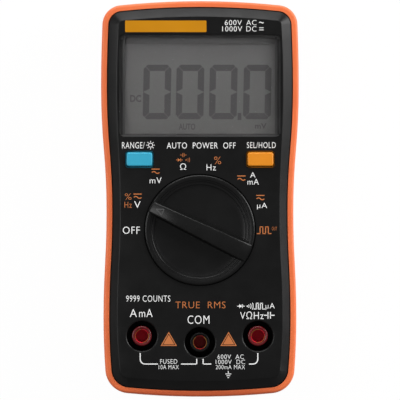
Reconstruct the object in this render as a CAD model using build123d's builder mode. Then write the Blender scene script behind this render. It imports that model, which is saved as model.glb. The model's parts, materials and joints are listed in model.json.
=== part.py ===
from build123d import *
import os
from math import cos, radians, sin, sqrt

# A pocket digital multimeter, lying on its back.
# Origin: middle of the back face.  +X right, +Y towards the display, +Z out of the face.
# All sizes are in millimetres.

os.makedirs("parts", exist_ok=True)

# ---- case outline: its width and length follow from what it holds ----
display_side_room = 2.05  # side wall to the display holder
waist_tuck = 1.8  # how far each side draws in at the selector
hip_tuck = 0.8  # and at the sockets
top_tuck = 0.7  # from the shoulders to the top corners
bottom_tuck = 1.2  # from the hips to the bottom corners
shoulder_drop = 0.5  # window centre down to where the sides draw in
waist_lift = 6.2  # waist above the selector's centre
hip_lift = 6.0  # hips above the outer sockets
end_radius = 250.0  # gentle bow of the top and bottom ends
end_room = 0.9  # top wall to the upper bosses, where the end bows
display_to_keys = 3.85
keys_to_knob = 2.6
knob_to_sockets = 16.7
common_socket_drop = 2.1  # the middle socket sits lower
shroud_to_fuse = 0.4
fuse_to_wall = 1.55
lower_boss_room = 3.0
top_corner_radius = 6.5
bottom_corner_radius = 8.0

# ---- heights above the back face ----
parting_z = 14.0
board_top_z = 19.1
rim_z = 25.6
face_z = 28.0
knob_top_z = 32.0

# ---- walls and general clearances ----
wall = 2.0
bumper_wall = 1.9  # soft orange jacket
seam = 0.15  # gap between loose-fitting static pieces
thread_gap = 0.05  # screw thread inside its pilot bore
screw_tip_gap = 0.3  # pilot bore beyond the screw's tip
drive_slot = 0.5  # cross recess in every screw head
drive_depth = 0.6
running_gap = 0.05  # radial clearance of the turning fits
key_gap = 0.3  # around the push keys

# ---- jacket ----
rim_groove = 0.35  # shadow groove between jacket and face
rim_groove_depth = 1.1
rim_round = 0.85
jacket_foot_z = 2.2
jacket_foot_round = 1.6
back_chamfer = 1.6
grip_spacing = 3.2
grip_count = 7
grip_width = 1.3
grip_depth = 0.5
grip_height = 6.0
grip_margin = 2.0  # from the parting line
grip_drop = 4.0  # grip ribs below the waist

# ---- face ----
slope_rise = 2.2  # bevel round the face
slope_run = 2.9
grip_slope_run = 2.3
face_round = 0.5
lip_height = 1.0  # interlocking lip at the parting line
lip_thickness = 1.0

# ---- display ----
window_width = 52.8
window_height = 33.4
window_corner = 1.6
window_edge_bevel = 0.25
aperture_corner = 0.8
window_thickness = 1.2
window_recess = 0.2
adhesive_thickness = 0.1
ledge_side = 1.6
ledge_end = 0.6
ledge_thickness = 1.0
glass_side_lap = 0.8  # glass under the window's ledge, at the sides and at the ends
glass_end_lap = 0.7
glass_thickness = 2.2
holder_wall = 0.8
holder_lip = 0.25
zebra_width = 2.0
zebra_margin = 0.5  # strip to the glass edge, and strip to the light guide
zebra_end_margin = 1.0
guide_margin = 0.5
guide_leg_radius = 1.2
guide_leg_inset = 2.0
lamp_gap = 0.3
guide_thickness = 2.4
diffuser_thickness = 0.4
led_size = 1.6
lamp_count = 3

# ---- bare label bar above the display ----
label_width = 26.7
label_height = 3.8
label_inset = 1.85  # from the window's left edge
label_gap = 0.95  # above the window
label_thickness = 0.1
label_corner = 0.3

# ---- push keys ----
key_width = 8.8
key_height = 5.0
key_corner = 0.8
key_inset = 2.15  # from the window's side edge
key_proud = 1.2
key_round = 0.45
key_travel = 0.4
key_flange = 0.8
key_flange_thickness = 0.9
key_play = 0.1
switch_size = 6.0
switch_height = 3.5
switch_leg = 1.0
switch_leg_width = 0.7
switch_leg_spacing = 4.5
switch_leg_thickness = 0.4
plunger_radius = 1.7
plunger_height = 2.0

# ---- selector ----
knob_radius = 18.1
knob_gap = 0.35
well_depth = 2.6
well_wall = 1.5
hub_radius = 6.0
axial_play = 0.1
knob_lip_width = 1.4
knob_lip_z = 28.9
knob_moat_z = 28.2
knob_dish_z = 27.4
knob_dish_radius = 14.4
knob_dish_slope = 2.2
knob_lip_round = 0.35
knob_moat_radius = 15.7
pointer_angle = 154.3  # rest position of the pointer, degrees from +X
positions_per_turn = 14  # detent pitch 25.7 degrees
pointer_width = 4.2
tail_width = 6.4
bar_crown_radius = 11.0
bar_end_z = 29.4
bar_round = 0.5
mark_length = 2.6
mark_width = 1.1
mark_depth = 1.0
mark_radius = 13.5
knob_screw_radius = 1.15
knob_screw_head = 2.6
knob_screw_head_height = 0.9
knob_screw_grip = 3.0
carrier_radius = 15.2
carrier_thickness = 2.4
ball_radius = 1.0
ball_pitch_radius = 15.0
detent_clearance = 0.3
detent_wall = 1.4
detent_spring_length = 3.0
detent_wire = 0.25
detent_turns = 5
finger_thickness = 0.2
finger_width = 1.0
finger_reach = 6.0
finger_slope = 3.0
finger_toe = 0.6
finger_count = 3
finger_start_angle = 30.0
finger_radius = 10.0  # where the wipers touch the board
finger_gap = 0.05

# ---- sockets ----
socket_radius = 2.05
socket_pitch = 19.05
contact_wall = 0.55
sleeve_radius = 3.3
sleeve_drop = 0.8  # sleeve top below the face
sleeve_lip = 1.0
sleeve_round = 0.4
shroud_bore_radius = 4.9
shroud_wall = 1.05
socket_rim_round = 0.6
shroud_bottom_z = 7.5
shroud_floor = 1.5
socket_bottom_z = 8.2
contact_stub = 0.5  # brass showing below the shroud
tail_thickness = 0.8
tail_breadth = 3.0
tail_reach = 0.4

# ---- board ----
board_thickness = 1.6
board_margin = 0.5
spindle_hole_radius = 3.5
post_radius = 2.2
upper_post_inset = 6.0  # from the side of the waist
upper_post_drop = 7.0  # below the keys
lower_post_inset = 7.2  # from the side of the hips
lower_post_lift = 8.0  # above the outer sockets
board_screw_radius = 1.0
board_screw_head = 2.0
board_screw_head_height = 1.1
board_screw_length = 7.0

# ---- case screws ----
boss_radius = 2.6
case_screw_radius = 1.25
case_screw_head = 2.3
case_screw_head_height = 1.6
case_screw_sink = 1.0
case_screw_grip = 9.0
upper_boss_inset = 10.5  # from the side of the shoulders
lower_boss_inset = 7.6  # from the side of the hips

# ---- power ----
cell_radius = 5.2
cell_length = 43.7
nub_radius = 1.9
nub_length = 0.8
cell_pitch = 10.9
bay_to_shroud = 0.9
bay_wall = 1.2
bay_end_room = 5.0  # spring and plate space beside a cell
cell_clearance = 0.3
terminal_thickness = 0.4
terminal_size = 8.0
terminal_tab = 3.0
spring_radius = 2.6
spring_wire = 0.5
spring_turns = 3
door_thickness = 1.8
door_margin = 1.2
door_corner = 2.0
door_boss_z = 6.0
door_rib_length = 14.0
door_rib_spacing = 1.6
door_rib_depth = 0.4
door_rib_inset = 4.0
door_screw_edge = 0.6
door_screw_radius = 0.95
door_screw_length = 4.4
door_screw_head = 2.0
door_screw_head_height = 1.0
door_screw_sink = 0.3

# ---- tilting stand ----
stand_width = 38.0
stand_length = 46.0
stand_thickness = 2.4
stand_to_bay = 0.4
stand_rest_z = 0.4
stand_side_gap = 0.35
stand_corner = 4.0
pivot_radius = 0.9
pivot_length = 1.5
notch_width = 12.0
notch_depth = 2.5
notch_height = 2.0
notch_corner = 1.5
stand_seat_gap = 0.2
stand_round_land = 0.1  # flat left between the two rounds of the pivot end
panel_side_margin = 5.0  # shallow groove round the stand's middle
panel_end_margin = 8.0
panel_shift = 2.0
panel_corner = 3.0
panel_groove = 1.2
panel_depth = 0.5

# ---- fuses and other components ----
fuse_radius = 2.6
fuse_length = 20.0
fuse_cap_length = 5.0
fuse_cap_wall = 0.3
clip_thickness = 0.4
clip_length = 4.4
clip_drop = 1.2
milliamp_fuse_lift = 16.2  # above the selector's centre
chip_width = 14.0
chip_thickness = 1.6
chip_drop = 3.1  # below the window's centre
chip_bevel = 0.2
chip_lead = 1.0
chip_lead_width = 0.4
chip_lead_thickness = 0.3
chip_lead_spacing = 1.0
chip_leads_per_side = 12
buzzer_radius = 6.0
buzzer_height = 3.2
buzzer_round = 0.4
buzzer_port_radius = 0.9
buzzer_port_depth = 1.0
buzzer_x = 17.5
buzzer_lift = 4.0  # above the keys
crystal_length = 8.0
crystal_radius = 1.5
crystal_x = -14.0
shunt_radius = 0.8
shunt_span = 9.0
shunt_drop = 2.4
shunt_bend = 1.6
shunt_x = -7.5
shunt_lift = 5.0  # above the outer sockets
disc_radius = 3.5
disc_thickness = 2.6
disc_x = 21.5
disc_lift = 4.2  # above the selector's centre
resistor_length = 3.2
resistor_width = 1.6
resistor_height = 0.6
resistor_spacing_x = 6.0
resistor_spacing_y = 3.0
resistor_row_gap = 5.0

# ---- worked-out insets from the outer outline ----
shell_inset = bumper_wall
face_inset = bumper_wall + rim_groove
inner_inset = bumper_wall + wall

# ---- layout, measured down from the top end ----
glass_width = window_width - 2 * (ledge_side - glass_side_lap)
glass_height = window_height - 2 * (ledge_end - glass_end_lap)
holder_width = glass_width + 2 * (seam + holder_wall)
holder_height = glass_height + 2 * (seam + holder_wall)
shroud_radius = shroud_bore_radius + shroud_wall
clip_inside = fuse_radius + thread_gap
clip_outside = clip_inside + clip_thickness
boss_down = inner_inset + boss_radius + end_room
holder_down = boss_down + boss_radius + seam
window_down = holder_down + holder_height / 2
key_down = holder_down + holder_height + display_to_keys + key_height / 2
selector_down = key_down + key_height / 2 + keys_to_knob + knob_radius
socket_down = selector_down + knob_radius + knob_to_sockets
common_down = socket_down + common_socket_drop
amp_fuse_down = common_down + shroud_radius + shroud_to_fuse + clip_outside
case_length = amp_fuse_down + clip_outside + fuse_to_wall + inner_inset
half_length = case_length / 2

# ---- places along the case ----
upper_boss_y = half_length - boss_down
lower_boss_y = lower_boss_room + boss_radius + inner_inset - half_length
window_y = half_length - window_down
label_y = window_y + window_height / 2 + label_gap + label_height / 2
key_y = half_length - key_down
selector_y = half_length - selector_down
outer_socket_y = half_length - socket_down
common_socket_y = half_length - common_down
amp_fuse_y = half_length - amp_fuse_down
milliamp_fuse_y = selector_y + milliamp_fuse_lift
chip_y = window_y - chip_drop
buzzer_y = key_y + buzzer_lift
disc_y = selector_y + disc_lift
shunt_y = outer_socket_y + shunt_lift
upper_post_y = key_y - upper_post_drop
lower_post_y = outer_socket_y + lower_post_lift
shoulder_y = window_y - shoulder_drop
waist_y = selector_y + waist_lift
hip_y = outer_socket_y + hip_lift
grip_y = waist_y - grip_drop

# ---- places across the case ----
shoulder_width = holder_width + 2 * (display_side_room + inner_inset)
waist_width = shoulder_width - 2 * waist_tuck
hip_width = shoulder_width - 2 * hip_tuck
label_x = label_inset + label_width / 2 - window_width / 2
key_x = window_width / 2 - key_inset - key_width / 2
upper_boss_x = shoulder_width / 2 - upper_boss_inset
lower_boss_x = hip_width / 2 - lower_boss_inset
upper_post_x = waist_width / 2 - upper_post_inset
lower_post_x = hip_width / 2 - lower_post_inset

# ---- heights ----
face_under_z = face_z - wall
slope_z = face_z - slope_rise
groove_z = rim_z - rim_groove_depth
board_under_z = board_top_z - board_thickness
window_top_z = face_z - window_recess
window_under_z = window_top_z - window_thickness
ledge_top_z = window_under_z - adhesive_thickness
ledge_under_z = ledge_top_z - ledge_thickness
glass_top_z = ledge_under_z - holder_lip
glass_under_z = glass_top_z - glass_thickness
well_floor_z = face_z - well_depth
well_under_z = well_floor_z - wall
knob_under_z = well_floor_z + axial_play
hub_under_z = well_under_z - axial_play
carrier_under_z = hub_under_z - carrier_thickness
sleeve_top_z = face_z - sleeve_drop
contact_top_z = sleeve_top_z - sleeve_lip
shroud_floor_z = shroud_bottom_z + shroud_floor
contact_radius = socket_radius + contact_wall
contact_bottom_z = shroud_bottom_z - contact_stub
flange_top_z = face_under_z - key_play
flange_under_z = flange_top_z - key_flange_thickness
plunger_top_z = board_top_z + switch_height + plunger_height - key_travel - seam
stem_under_z = plunger_top_z
cell_z = door_thickness + seam + cell_radius
bay_top_z = cell_z + cell_radius + cell_clearance
recess_top_z = stand_rest_z + stand_thickness + stand_seat_gap
pivot_z = stand_rest_z + stand_thickness / 2

# ---- battery bay, door and stand on the back ----
bay_length = cell_length + nub_length + bay_end_room
bay_width = cell_pitch + 2 * cell_radius + 2 * cell_clearance
bay_y = outer_socket_y + shroud_radius + bay_to_shroud + bay_wall + bay_width / 2
stand_bottom_y = bay_y + bay_width / 2 + bay_wall + stand_to_bay + wall + stand_side_gap
stand_centre_y = stand_bottom_y + stand_length / 2
stand_pivot_y = stand_bottom_y + stand_length - pivot_radius
recess_width = stand_width + 2 * stand_side_gap
recess_length = stand_length + 2 * stand_side_gap
stand_end_round = (stand_thickness - stand_round_land) / 2
socket_places = {
    "amp": (-socket_pitch, outer_socket_y, -1),
    "com": (0.0, common_socket_y, 1),
    "volt": (socket_pitch, outer_socket_y, -1),
}
socket_points = [(x, y) for x, y, side in socket_places.values()]
boss_points = [
    (-upper_boss_x, upper_boss_y),
    (upper_boss_x, upper_boss_y),
    (-lower_boss_x, lower_boss_y),
    (lower_boss_x, lower_boss_y),
]
post_points = [
    (-upper_post_x, upper_post_y),
    (upper_post_x, upper_post_y),
    (-lower_post_x, lower_post_y),
    (lower_post_x, lower_post_y),
]
key_points = {"range": (-key_x, key_y), "select": (key_x, key_y)}
door_screw_y = bay_y - bay_width / 2 - bay_wall - door_screw_head - door_screw_edge
door_screw_seat_z = door_screw_sink + door_screw_head_height
door_bottom_y = door_screw_y - door_screw_head - door_margin
door_top_y = bay_y + bay_width / 2 + door_margin
door_width = bay_length + 2 * door_margin


def case_outline(inset, grip_inset=None):
    """Plan outline of the case, drawn in by the inset, or by grip_inset along the waist and hips."""
    grip_inset = inset if grip_inset is None else grip_inset
    end_y = half_length - inset
    shoulder_x = shoulder_width / 2 - inset
    waist_x = waist_width / 2 - grip_inset
    hip_x = hip_width / 2 - grip_inset
    top_x = shoulder_x - top_tuck
    bottom_x = hip_x - bottom_tuck
    bow = end_radius - inset
    top_corner = (top_x, end_y - bow + sqrt(bow**2 - top_x**2))
    bottom_corner = (bottom_x, bow - sqrt(bow**2 - bottom_x**2) - end_y)
    upper_turn = ((shoulder_x + waist_x) / 2, (shoulder_y + waist_y) / 2)
    lower_turn = ((waist_x + hip_x) / 2, (waist_y + hip_y) / 2)
    with BuildSketch() as outline:
        with BuildLine():
            TangentArc((0, end_y), top_corner, tangent=(1, 0))
            TangentArc((shoulder_x, shoulder_y), top_corner, tangent=(0, 1))
            TangentArc((shoulder_x, shoulder_y), upper_turn, tangent=(0, -1))
            TangentArc((waist_x, waist_y), upper_turn, tangent=(0, 1))
            TangentArc((waist_x, waist_y), lower_turn, tangent=(0, -1))
            TangentArc((hip_x, hip_y), lower_turn, tangent=(0, 1))
            TangentArc((hip_x, hip_y), bottom_corner, tangent=(0, -1))
            TangentArc((0, -end_y), bottom_corner, tangent=(1, 0))
            mirror(about=Plane.YZ)
        make_face()
        for corner, radius in (
            (top_corner, top_corner_radius),
            (bottom_corner, bottom_corner_radius),
        ):
            ends = outline.vertices().filter_by_position(Axis.Y, corner[1] - 0.01, corner[1] + 0.01)
            fillet(ends, max(radius - inset, 0.6))
    return outline.sketch


def coil_spring(length, radius, wire, turns):
    """Coil spring standing on the origin along +Z, its ends inside the length."""
    with BuildPart() as spring:
        with BuildLine() as coil:
            Helix(
                pitch=(length - 2 * wire) / turns,
                height=length - 2 * wire,
                radius=radius,
                center=(0, 0, wire),
            )
        with BuildSketch(Plane(coil.line @ 0, z_dir=coil.line % 0)):
            Circle(wire / 2)
        sweep(is_frenet=True)
    return spring.part


def finish(part, name):
    """Label a finished piece and write it to its own file."""
    part.label = name
    export_step(part, f"parts/{name}.step")


# ---- front shell: the black face with its slopes, wells, posts and bosses ----
with BuildPart() as front_shell:
    with BuildSketch(Plane.XY.offset(parting_z)):
        add(case_outline(shell_inset))
    extrude(amount=groove_z - parting_z)
    with BuildSketch(Plane.XY.offset(groove_z)):
        add(case_outline(face_inset))
    extrude(amount=slope_z - groove_z)
    with BuildSketch(Plane.XY.offset(slope_z)):
        add(case_outline(face_inset))
    with BuildSketch(Plane.XY.offset(face_z)):
        add(case_outline(face_inset + slope_run, face_inset + grip_slope_run))
    loft(ruled=True)
    fillet(front_shell.faces().sort_by(Axis.Z)[-1].edges(), face_round)
    # hollow inside
    with BuildSketch(Plane.XY.offset(parting_z)):
        add(case_outline(inner_inset))
    extrude(amount=face_under_z - parting_z, mode=Mode.SUBTRACT)
    # lip that drops into the rear shell
    with BuildSketch(Plane.XY.offset(parting_z - lip_height)):
        add(case_outline(inner_inset - lip_thickness))
        add(case_outline(inner_inset), mode=Mode.SUBTRACT)
    extrude(amount=lip_height)
    # window seat
    with BuildSketch(Plane.XY.offset(ledge_under_z)):
        with Locations((0, window_y)):
            Rectangle(glass_width + 2 * holder_wall, window_height + 2 * wall)
    extrude(amount=face_under_z - ledge_under_z)
    with BuildSketch(Plane.XY.offset(ledge_top_z)):
        with Locations((0, window_y)):
            RectangleRounded(
                window_width + 2 * seam, window_height + 2 * seam, window_corner + seam
            )
    extrude(amount=face_z - ledge_top_z, mode=Mode.SUBTRACT)
    with BuildSketch(Plane.XY.offset(ledge_under_z)):
        with Locations((0, window_y)):
            RectangleRounded(
                window_width - 2 * ledge_side, window_height - 2 * ledge_end, aperture_corner
            )
    extrude(amount=ledge_thickness, mode=Mode.SUBTRACT)
    # selector well with its spindle bore and detent ring
    with BuildSketch(Plane.XY.offset(well_under_z)):
        with Locations((0, selector_y)):
            Circle(knob_radius + knob_gap + well_wall)
    extrude(amount=face_under_z - well_under_z)
    with BuildSketch(Plane.XY.offset(well_floor_z)):
        with Locations((0, selector_y)):
            Circle(knob_radius + knob_gap)
    extrude(amount=well_depth, mode=Mode.SUBTRACT)
    with BuildSketch(Plane.XY.offset(well_under_z)):
        with Locations((0, selector_y)):
            Circle(hub_radius + running_gap)
    extrude(amount=wall, mode=Mode.SUBTRACT)
    with BuildSketch(Plane.XY.offset(well_under_z - ball_radius * 2)):
        with Locations((0, selector_y)):
            Circle(ball_pitch_radius + ball_radius + detent_clearance + detent_wall)
            Circle(ball_pitch_radius + ball_radius + detent_clearance, mode=Mode.SUBTRACT)
            with PolarLocations(
                ball_pitch_radius + detent_clearance, positions_per_turn, start_angle=pointer_angle
            ):
                Circle(ball_radius + detent_clearance, mode=Mode.SUBTRACT)
    extrude(amount=ball_radius * 2)
    # key holes
    with BuildSketch(Plane.XY.offset(face_under_z)):
        with Locations(*key_points.values()):
            RectangleRounded(key_width + 2 * key_gap, key_height + 2 * key_gap, key_corner + key_gap)
    extrude(amount=wall, mode=Mode.SUBTRACT)
    # socket holes
    with BuildSketch(Plane.XY.offset(face_under_z)):
        with Locations(*socket_points):
            Circle(shroud_bore_radius)
    extrude(amount=wall, mode=Mode.SUBTRACT)
    socket_rims = front_shell.edges().filter_by(GeomType.CIRCLE).filter_by_position(
        Axis.Z, face_z - 0.01, face_z + 0.01
    ).filter_by(lambda edge: abs(edge.radius - shroud_bore_radius) < 0.01)
    fillet(socket_rims, socket_rim_round)
    # board posts and case bosses
    with BuildSketch(Plane.XY.offset(board_top_z)):
        with Locations(*post_points):
            Circle(post_radius)
    extrude(amount=face_under_z - board_top_z)
    with BuildSketch(Plane.XY.offset(parting_z)):
        with Locations(*boss_points):
            Circle(boss_radius)
    extrude(amount=face_under_z - parting_z)
    with BuildSketch(Plane.XY.offset(board_top_z)):
        with Locations(*post_points):
            Circle(board_screw_radius + thread_gap)
    extrude(amount=board_screw_length - board_thickness + screw_tip_gap, mode=Mode.SUBTRACT)
    with BuildSketch(Plane.XY.offset(parting_z)):
        with Locations(*boss_points):
            Circle(case_screw_radius + thread_gap)
    extrude(amount=case_screw_grip + screw_tip_gap, mode=Mode.SUBTRACT)
finish(front_shell.part, "front_shell")

# ---- front jacket: soft orange rim round the face ----
with BuildPart() as front_bumper:
    with BuildSketch(Plane.XY.offset(parting_z)):
        add(case_outline(0))
    extrude(amount=rim_z - parting_z)
    fillet(front_bumper.faces().sort_by(Axis.Z)[-1].edges(), rim_round)
    with BuildSketch(Plane.XY.offset(parting_z)):
        add(case_outline(shell_inset))
    extrude(amount=rim_z - parting_z, mode=Mode.SUBTRACT)
    for side in (-1, 1):
        with BuildSketch(Plane.XY.offset(parting_z + grip_margin)):
            with Locations((side * (waist_width / 2), grip_y)):
                with GridLocations(0, grip_spacing, 1, grip_count):
                    Rectangle(2 * grip_depth, grip_width)
        extrude(amount=grip_height, mode=Mode.SUBTRACT)
finish(front_bumper.part, "front_bumper")

# ---- display window, its adhesive frame and the bare label bar ----
with BuildPart() as display_window:
    with BuildSketch(Plane.XY.offset(window_under_z)):
        with Locations((0, window_y)):
            RectangleRounded(window_width, window_height, window_corner)
    extrude(amount=window_thickness)
    chamfer(display_window.faces().sort_by(Axis.Z)[-1].edges(), window_edge_bevel)
finish(display_window.part, "display_window")

with BuildPart() as window_adhesive:
    with BuildSketch(Plane.XY.offset(ledge_top_z)):
        with Locations((0, window_y)):
            RectangleRounded(window_width, window_height, window_corner)
            RectangleRounded(
                window_width - 2 * ledge_side,
                window_height - 2 * ledge_end,
                aperture_corner,
                mode=Mode.SUBTRACT,
            )
    extrude(amount=adhesive_thickness)
finish(window_adhesive.part, "window_adhesive")

with BuildPart() as label_bar:
    with BuildSketch(Plane.XY.offset(face_z)):
        with Locations((label_x, label_y)):
            RectangleRounded(label_width, label_height, label_corner)
    extrude(amount=label_thickness)
finish(label_bar.part, "label_bar")

# ---- display: glass, holder, light guide, diffuser, lamps and zebra strip ----
with BuildPart() as lcd_glass:
    with BuildSketch(Plane.XY.offset(glass_under_z)):
        with Locations((0, window_y)):
            Rectangle(glass_width, glass_height)
    extrude(amount=glass_thickness)
finish(lcd_glass.part, "lcd_glass")

with BuildPart() as lcd_holder:
    with BuildSketch(Plane.XY.offset(board_top_z)):
        with Locations((0, window_y)):
            Rectangle(holder_width, holder_height)
    extrude(amount=ledge_under_z - board_top_z)
    with BuildSketch(Plane.XY.offset(board_top_z)):
        with Locations((0, window_y)):
            Rectangle(glass_width + 2 * seam, glass_height + 2 * seam)
    extrude(amount=glass_top_z - board_top_z, mode=Mode.SUBTRACT)
    with BuildSketch(Plane.XY.offset(glass_top_z)):
        with Locations((0, window_y)):
            Rectangle(window_width - 2 * ledge_side, window_height - 2 * ledge_end)
    extrude(amount=holder_lip, mode=Mode.SUBTRACT)
finish(lcd_holder.part, "lcd_holder")

zebra_y = window_y - glass_height / 2 + zebra_width / 2 + zebra_margin
guide_bottom_y = zebra_y + zebra_width / 2 + zebra_margin
guide_top_y = window_y + glass_height / 2 - led_size - 2 * lamp_gap
guide_width = glass_width - 2 * guide_margin
guide_length = guide_top_y - guide_bottom_y
guide_centre_y = (guide_bottom_y + guide_top_y) / 2
guide_z = glass_under_z - diffuser_thickness - guide_thickness

with BuildPart() as zebra_strip:
    with BuildSketch(Plane.XY.offset(board_top_z)):
        with Locations((0, zebra_y)):
            Rectangle(glass_width - 2 * zebra_end_margin, zebra_width)
    extrude(amount=glass_under_z - board_top_z)
finish(zebra_strip.part, "zebra_strip")

with BuildPart() as light_diffuser:
    with BuildSketch(Plane.XY.offset(glass_under_z - diffuser_thickness)):
        with Locations((0, guide_centre_y)):
            Rectangle(guide_width, guide_length)
    extrude(amount=diffuser_thickness)
finish(light_diffuser.part, "light_diffuser")

with BuildPart() as light_guide:
    with BuildSketch(Plane.XY.offset(guide_z)):
        with Locations((0, guide_centre_y)):
            Rectangle(guide_width, guide_length)
    extrude(amount=guide_thickness)
    with BuildSketch(Plane.XY.offset(board_top_z)):
        with Locations((0, guide_centre_y)):
            with GridLocations(
                guide_width - 2 * guide_leg_inset, guide_length - 2 * guide_leg_inset, 2, 2
            ):
                Circle(guide_leg_radius)
    extrude(amount=guide_z - board_top_z)
finish(light_guide.part, "light_guide")

with BuildPart() as backlight_lamps:
    with BuildSketch(Plane.XY.offset(board_top_z)):
        with Locations((0, guide_top_y + led_size / 2 + lamp_gap)):
            with GridLocations(glass_width / lamp_count, 0, lamp_count, 1):
                Rectangle(2 * led_size, led_size)
    extrude(amount=guide_z + guide_thickness - board_top_z)
finish(backlight_lamps.part, "backlight_lamps")

# ---- push keys with their tact switches ----
for name, (place_x, place_y) in key_points.items():
    with BuildPart() as key:
        with BuildSketch(Plane.XY.offset(flange_under_z)):
            with Locations((place_x, place_y)):
                RectangleRounded(key_width, key_height, key_corner)
        extrude(amount=face_z + key_proud - flange_under_z)
        fillet(key.faces().sort_by(Axis.Z)[-1].edges(), key_round)
        with BuildSketch(Plane.XY.offset(flange_under_z)):
            with Locations((place_x, place_y)):
                Rectangle(key_width + 2 * key_flange, key_height + 2 * key_flange)
        extrude(amount=key_flange_thickness)
        with BuildSketch(Plane.XY.offset(stem_under_z)):
            with Locations((place_x, place_y)):
                Circle(plunger_radius)
        extrude(amount=flange_under_z - stem_under_z)
    finish(key.part, f"{name}_key")

    with BuildPart() as plunger:
        with BuildSketch(Plane.XY.offset(plunger_top_z - plunger_height)):
            with Locations((place_x, place_y)):
                Circle(plunger_radius)
        extrude(amount=plunger_height)
    finish(plunger.part, f"{name}_plunger")

    with BuildPart() as switch:
        with BuildSketch(Plane.XY.offset(board_top_z)):
            with Locations((place_x, place_y)):
                Rectangle(switch_size, switch_size)
        extrude(amount=switch_height)
        with BuildSketch(Plane.XY.offset(plunger_top_z - plunger_height - key_travel - seam)):
            with Locations((place_x, place_y)):
                Circle(plunger_radius + running_gap)
        extrude(amount=switch_height, mode=Mode.SUBTRACT)
        with BuildSketch(Plane.XY.offset(board_top_z)):
            with Locations((place_x, place_y)):
                with GridLocations(switch_size + switch_leg, switch_leg_spacing, 2, 2):
                    Rectangle(switch_leg, switch_leg_width)
        extrude(amount=switch_leg_thickness)
    finish(switch.part, f"{name}_switch")

# ---- selector knob: rimmed dish with a raised finger bar ----
# the bar is wider away from the pointer, and its top falls off to both ends
with BuildPart() as finger_bar:
    with BuildSketch(Plane.XY.offset(knob_under_z)):
        with BuildLine():
            Polyline(
                (knob_radius, pointer_width / 2),
                (-knob_radius, tail_width / 2),
                (-knob_radius, -tail_width / 2),
                (knob_radius, -pointer_width / 2),
                close=True,
            )
        make_face()
    extrude(amount=knob_top_z - knob_under_z)
    with BuildSketch(Plane.XZ):
        with BuildLine():
            Line((0, knob_under_z), (knob_radius, knob_under_z))
            Line((knob_radius, knob_under_z), (knob_radius, bar_end_z))
            TangentArc((bar_crown_radius, knob_top_z), (knob_radius, bar_end_z), tangent=(1, 0))
            Line((bar_crown_radius, knob_top_z), (0, knob_top_z))
            Line((0, knob_top_z), (0, knob_under_z))
        make_face()
    revolve(axis=Axis.Z, mode=Mode.INTERSECT)
    fillet(finger_bar.edges().filter_by(GeomType.LINE).group_by(Axis.Z)[-1], bar_round)

with BuildPart() as selector_knob:
    with BuildSketch(Plane.XZ):
        with BuildLine():
            Polyline(
                (0, knob_under_z),
                (knob_radius, knob_under_z),
                (knob_radius, knob_lip_z),
                (knob_radius - knob_lip_width, knob_lip_z),
                (knob_moat_radius, knob_moat_z),
                (knob_dish_radius, knob_moat_z),
                (knob_dish_radius - knob_dish_slope, knob_dish_z),
                (0, knob_dish_z),
                close=True,
            )
        make_face()
    revolve(axis=Axis.Z)
    lip_edges = selector_knob.edges().filter_by(GeomType.CIRCLE).filter_by_position(
        Axis.Z, knob_lip_z - 0.01, knob_lip_z + 0.01
    )
    fillet(lip_edges, knob_lip_round)
    with BuildSketch(Plane.XY.offset(hub_under_z)):
        Circle(hub_radius)
    extrude(amount=knob_under_z - hub_under_z)
    add(finger_bar.part)
    with BuildSketch(Plane.XY.offset(knob_top_z - mark_depth)):
        with Locations((mark_radius, 0)):
            Triangle(c=mark_width, a=mark_length, b=mark_length, rotation=-90)
    extrude(amount=mark_depth, mode=Mode.SUBTRACT)
    with BuildSketch(Plane.XY.offset(hub_under_z)):
        Circle(knob_screw_radius + thread_gap)
    extrude(amount=knob_screw_grip + screw_tip_gap, mode=Mode.SUBTRACT)
selector_place = Location((0, selector_y, 0), (0, 0, pointer_angle))
finish(selector_knob.part.moved(selector_place), "selector_knob")

# ---- contact carrier under the face, turned by the hub ----
pocket_radius = ball_radius + thread_gap
pocket_depth = detent_spring_length + 2 * ball_radius
with BuildPart() as contact_carrier:
    with BuildSketch(Plane.XY.offset(carrier_under_z)):
        Circle(carrier_radius)
    extrude(amount=carrier_thickness)
    with BuildSketch(Plane.XY.offset(carrier_under_z)):
        Circle(knob_screw_radius + thread_gap)
    extrude(amount=carrier_thickness, mode=Mode.SUBTRACT)
    with BuildSketch(Plane.XY.offset(carrier_under_z)):
        Circle(knob_screw_head + thread_gap)
    extrude(amount=knob_screw_head_height, mode=Mode.SUBTRACT)
    for turn in (0, 180):
        mouth = Plane.XY.offset(hub_under_z - carrier_thickness / 2).rotated((0, 0, turn))
        with BuildSketch(Plane(mouth.origin, x_dir=mouth.y_dir, z_dir=mouth.x_dir).offset(
            ball_pitch_radius + ball_radius - pocket_depth
        )):
            Circle(pocket_radius)
        extrude(amount=pocket_depth, mode=Mode.SUBTRACT)
finish(contact_carrier.part.moved(selector_place), "contact_carrier")

ball_z = hub_under_z - carrier_thickness / 2
with BuildPart() as detent_balls:
    with Locations((ball_pitch_radius, 0, ball_z), (-ball_pitch_radius, 0, ball_z)):
        Sphere(ball_radius)
finish(detent_balls.part.moved(selector_place), "detent_balls")

spring_root_x = ball_pitch_radius + ball_radius - pocket_depth
detent_coil = coil_spring(
    detent_spring_length - seam, pocket_radius - detent_wire, detent_wire, detent_turns
)
with BuildPart() as detent_springs:
    for side in (-1, 1):
        seat = Plane((side * spring_root_x, 0, ball_z), x_dir=(0, 1, 0), z_dir=(side, 0, 0))
        add(detent_coil.moved(seat.location))
finish(detent_springs.part.moved(selector_place), "detent_springs")

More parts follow.
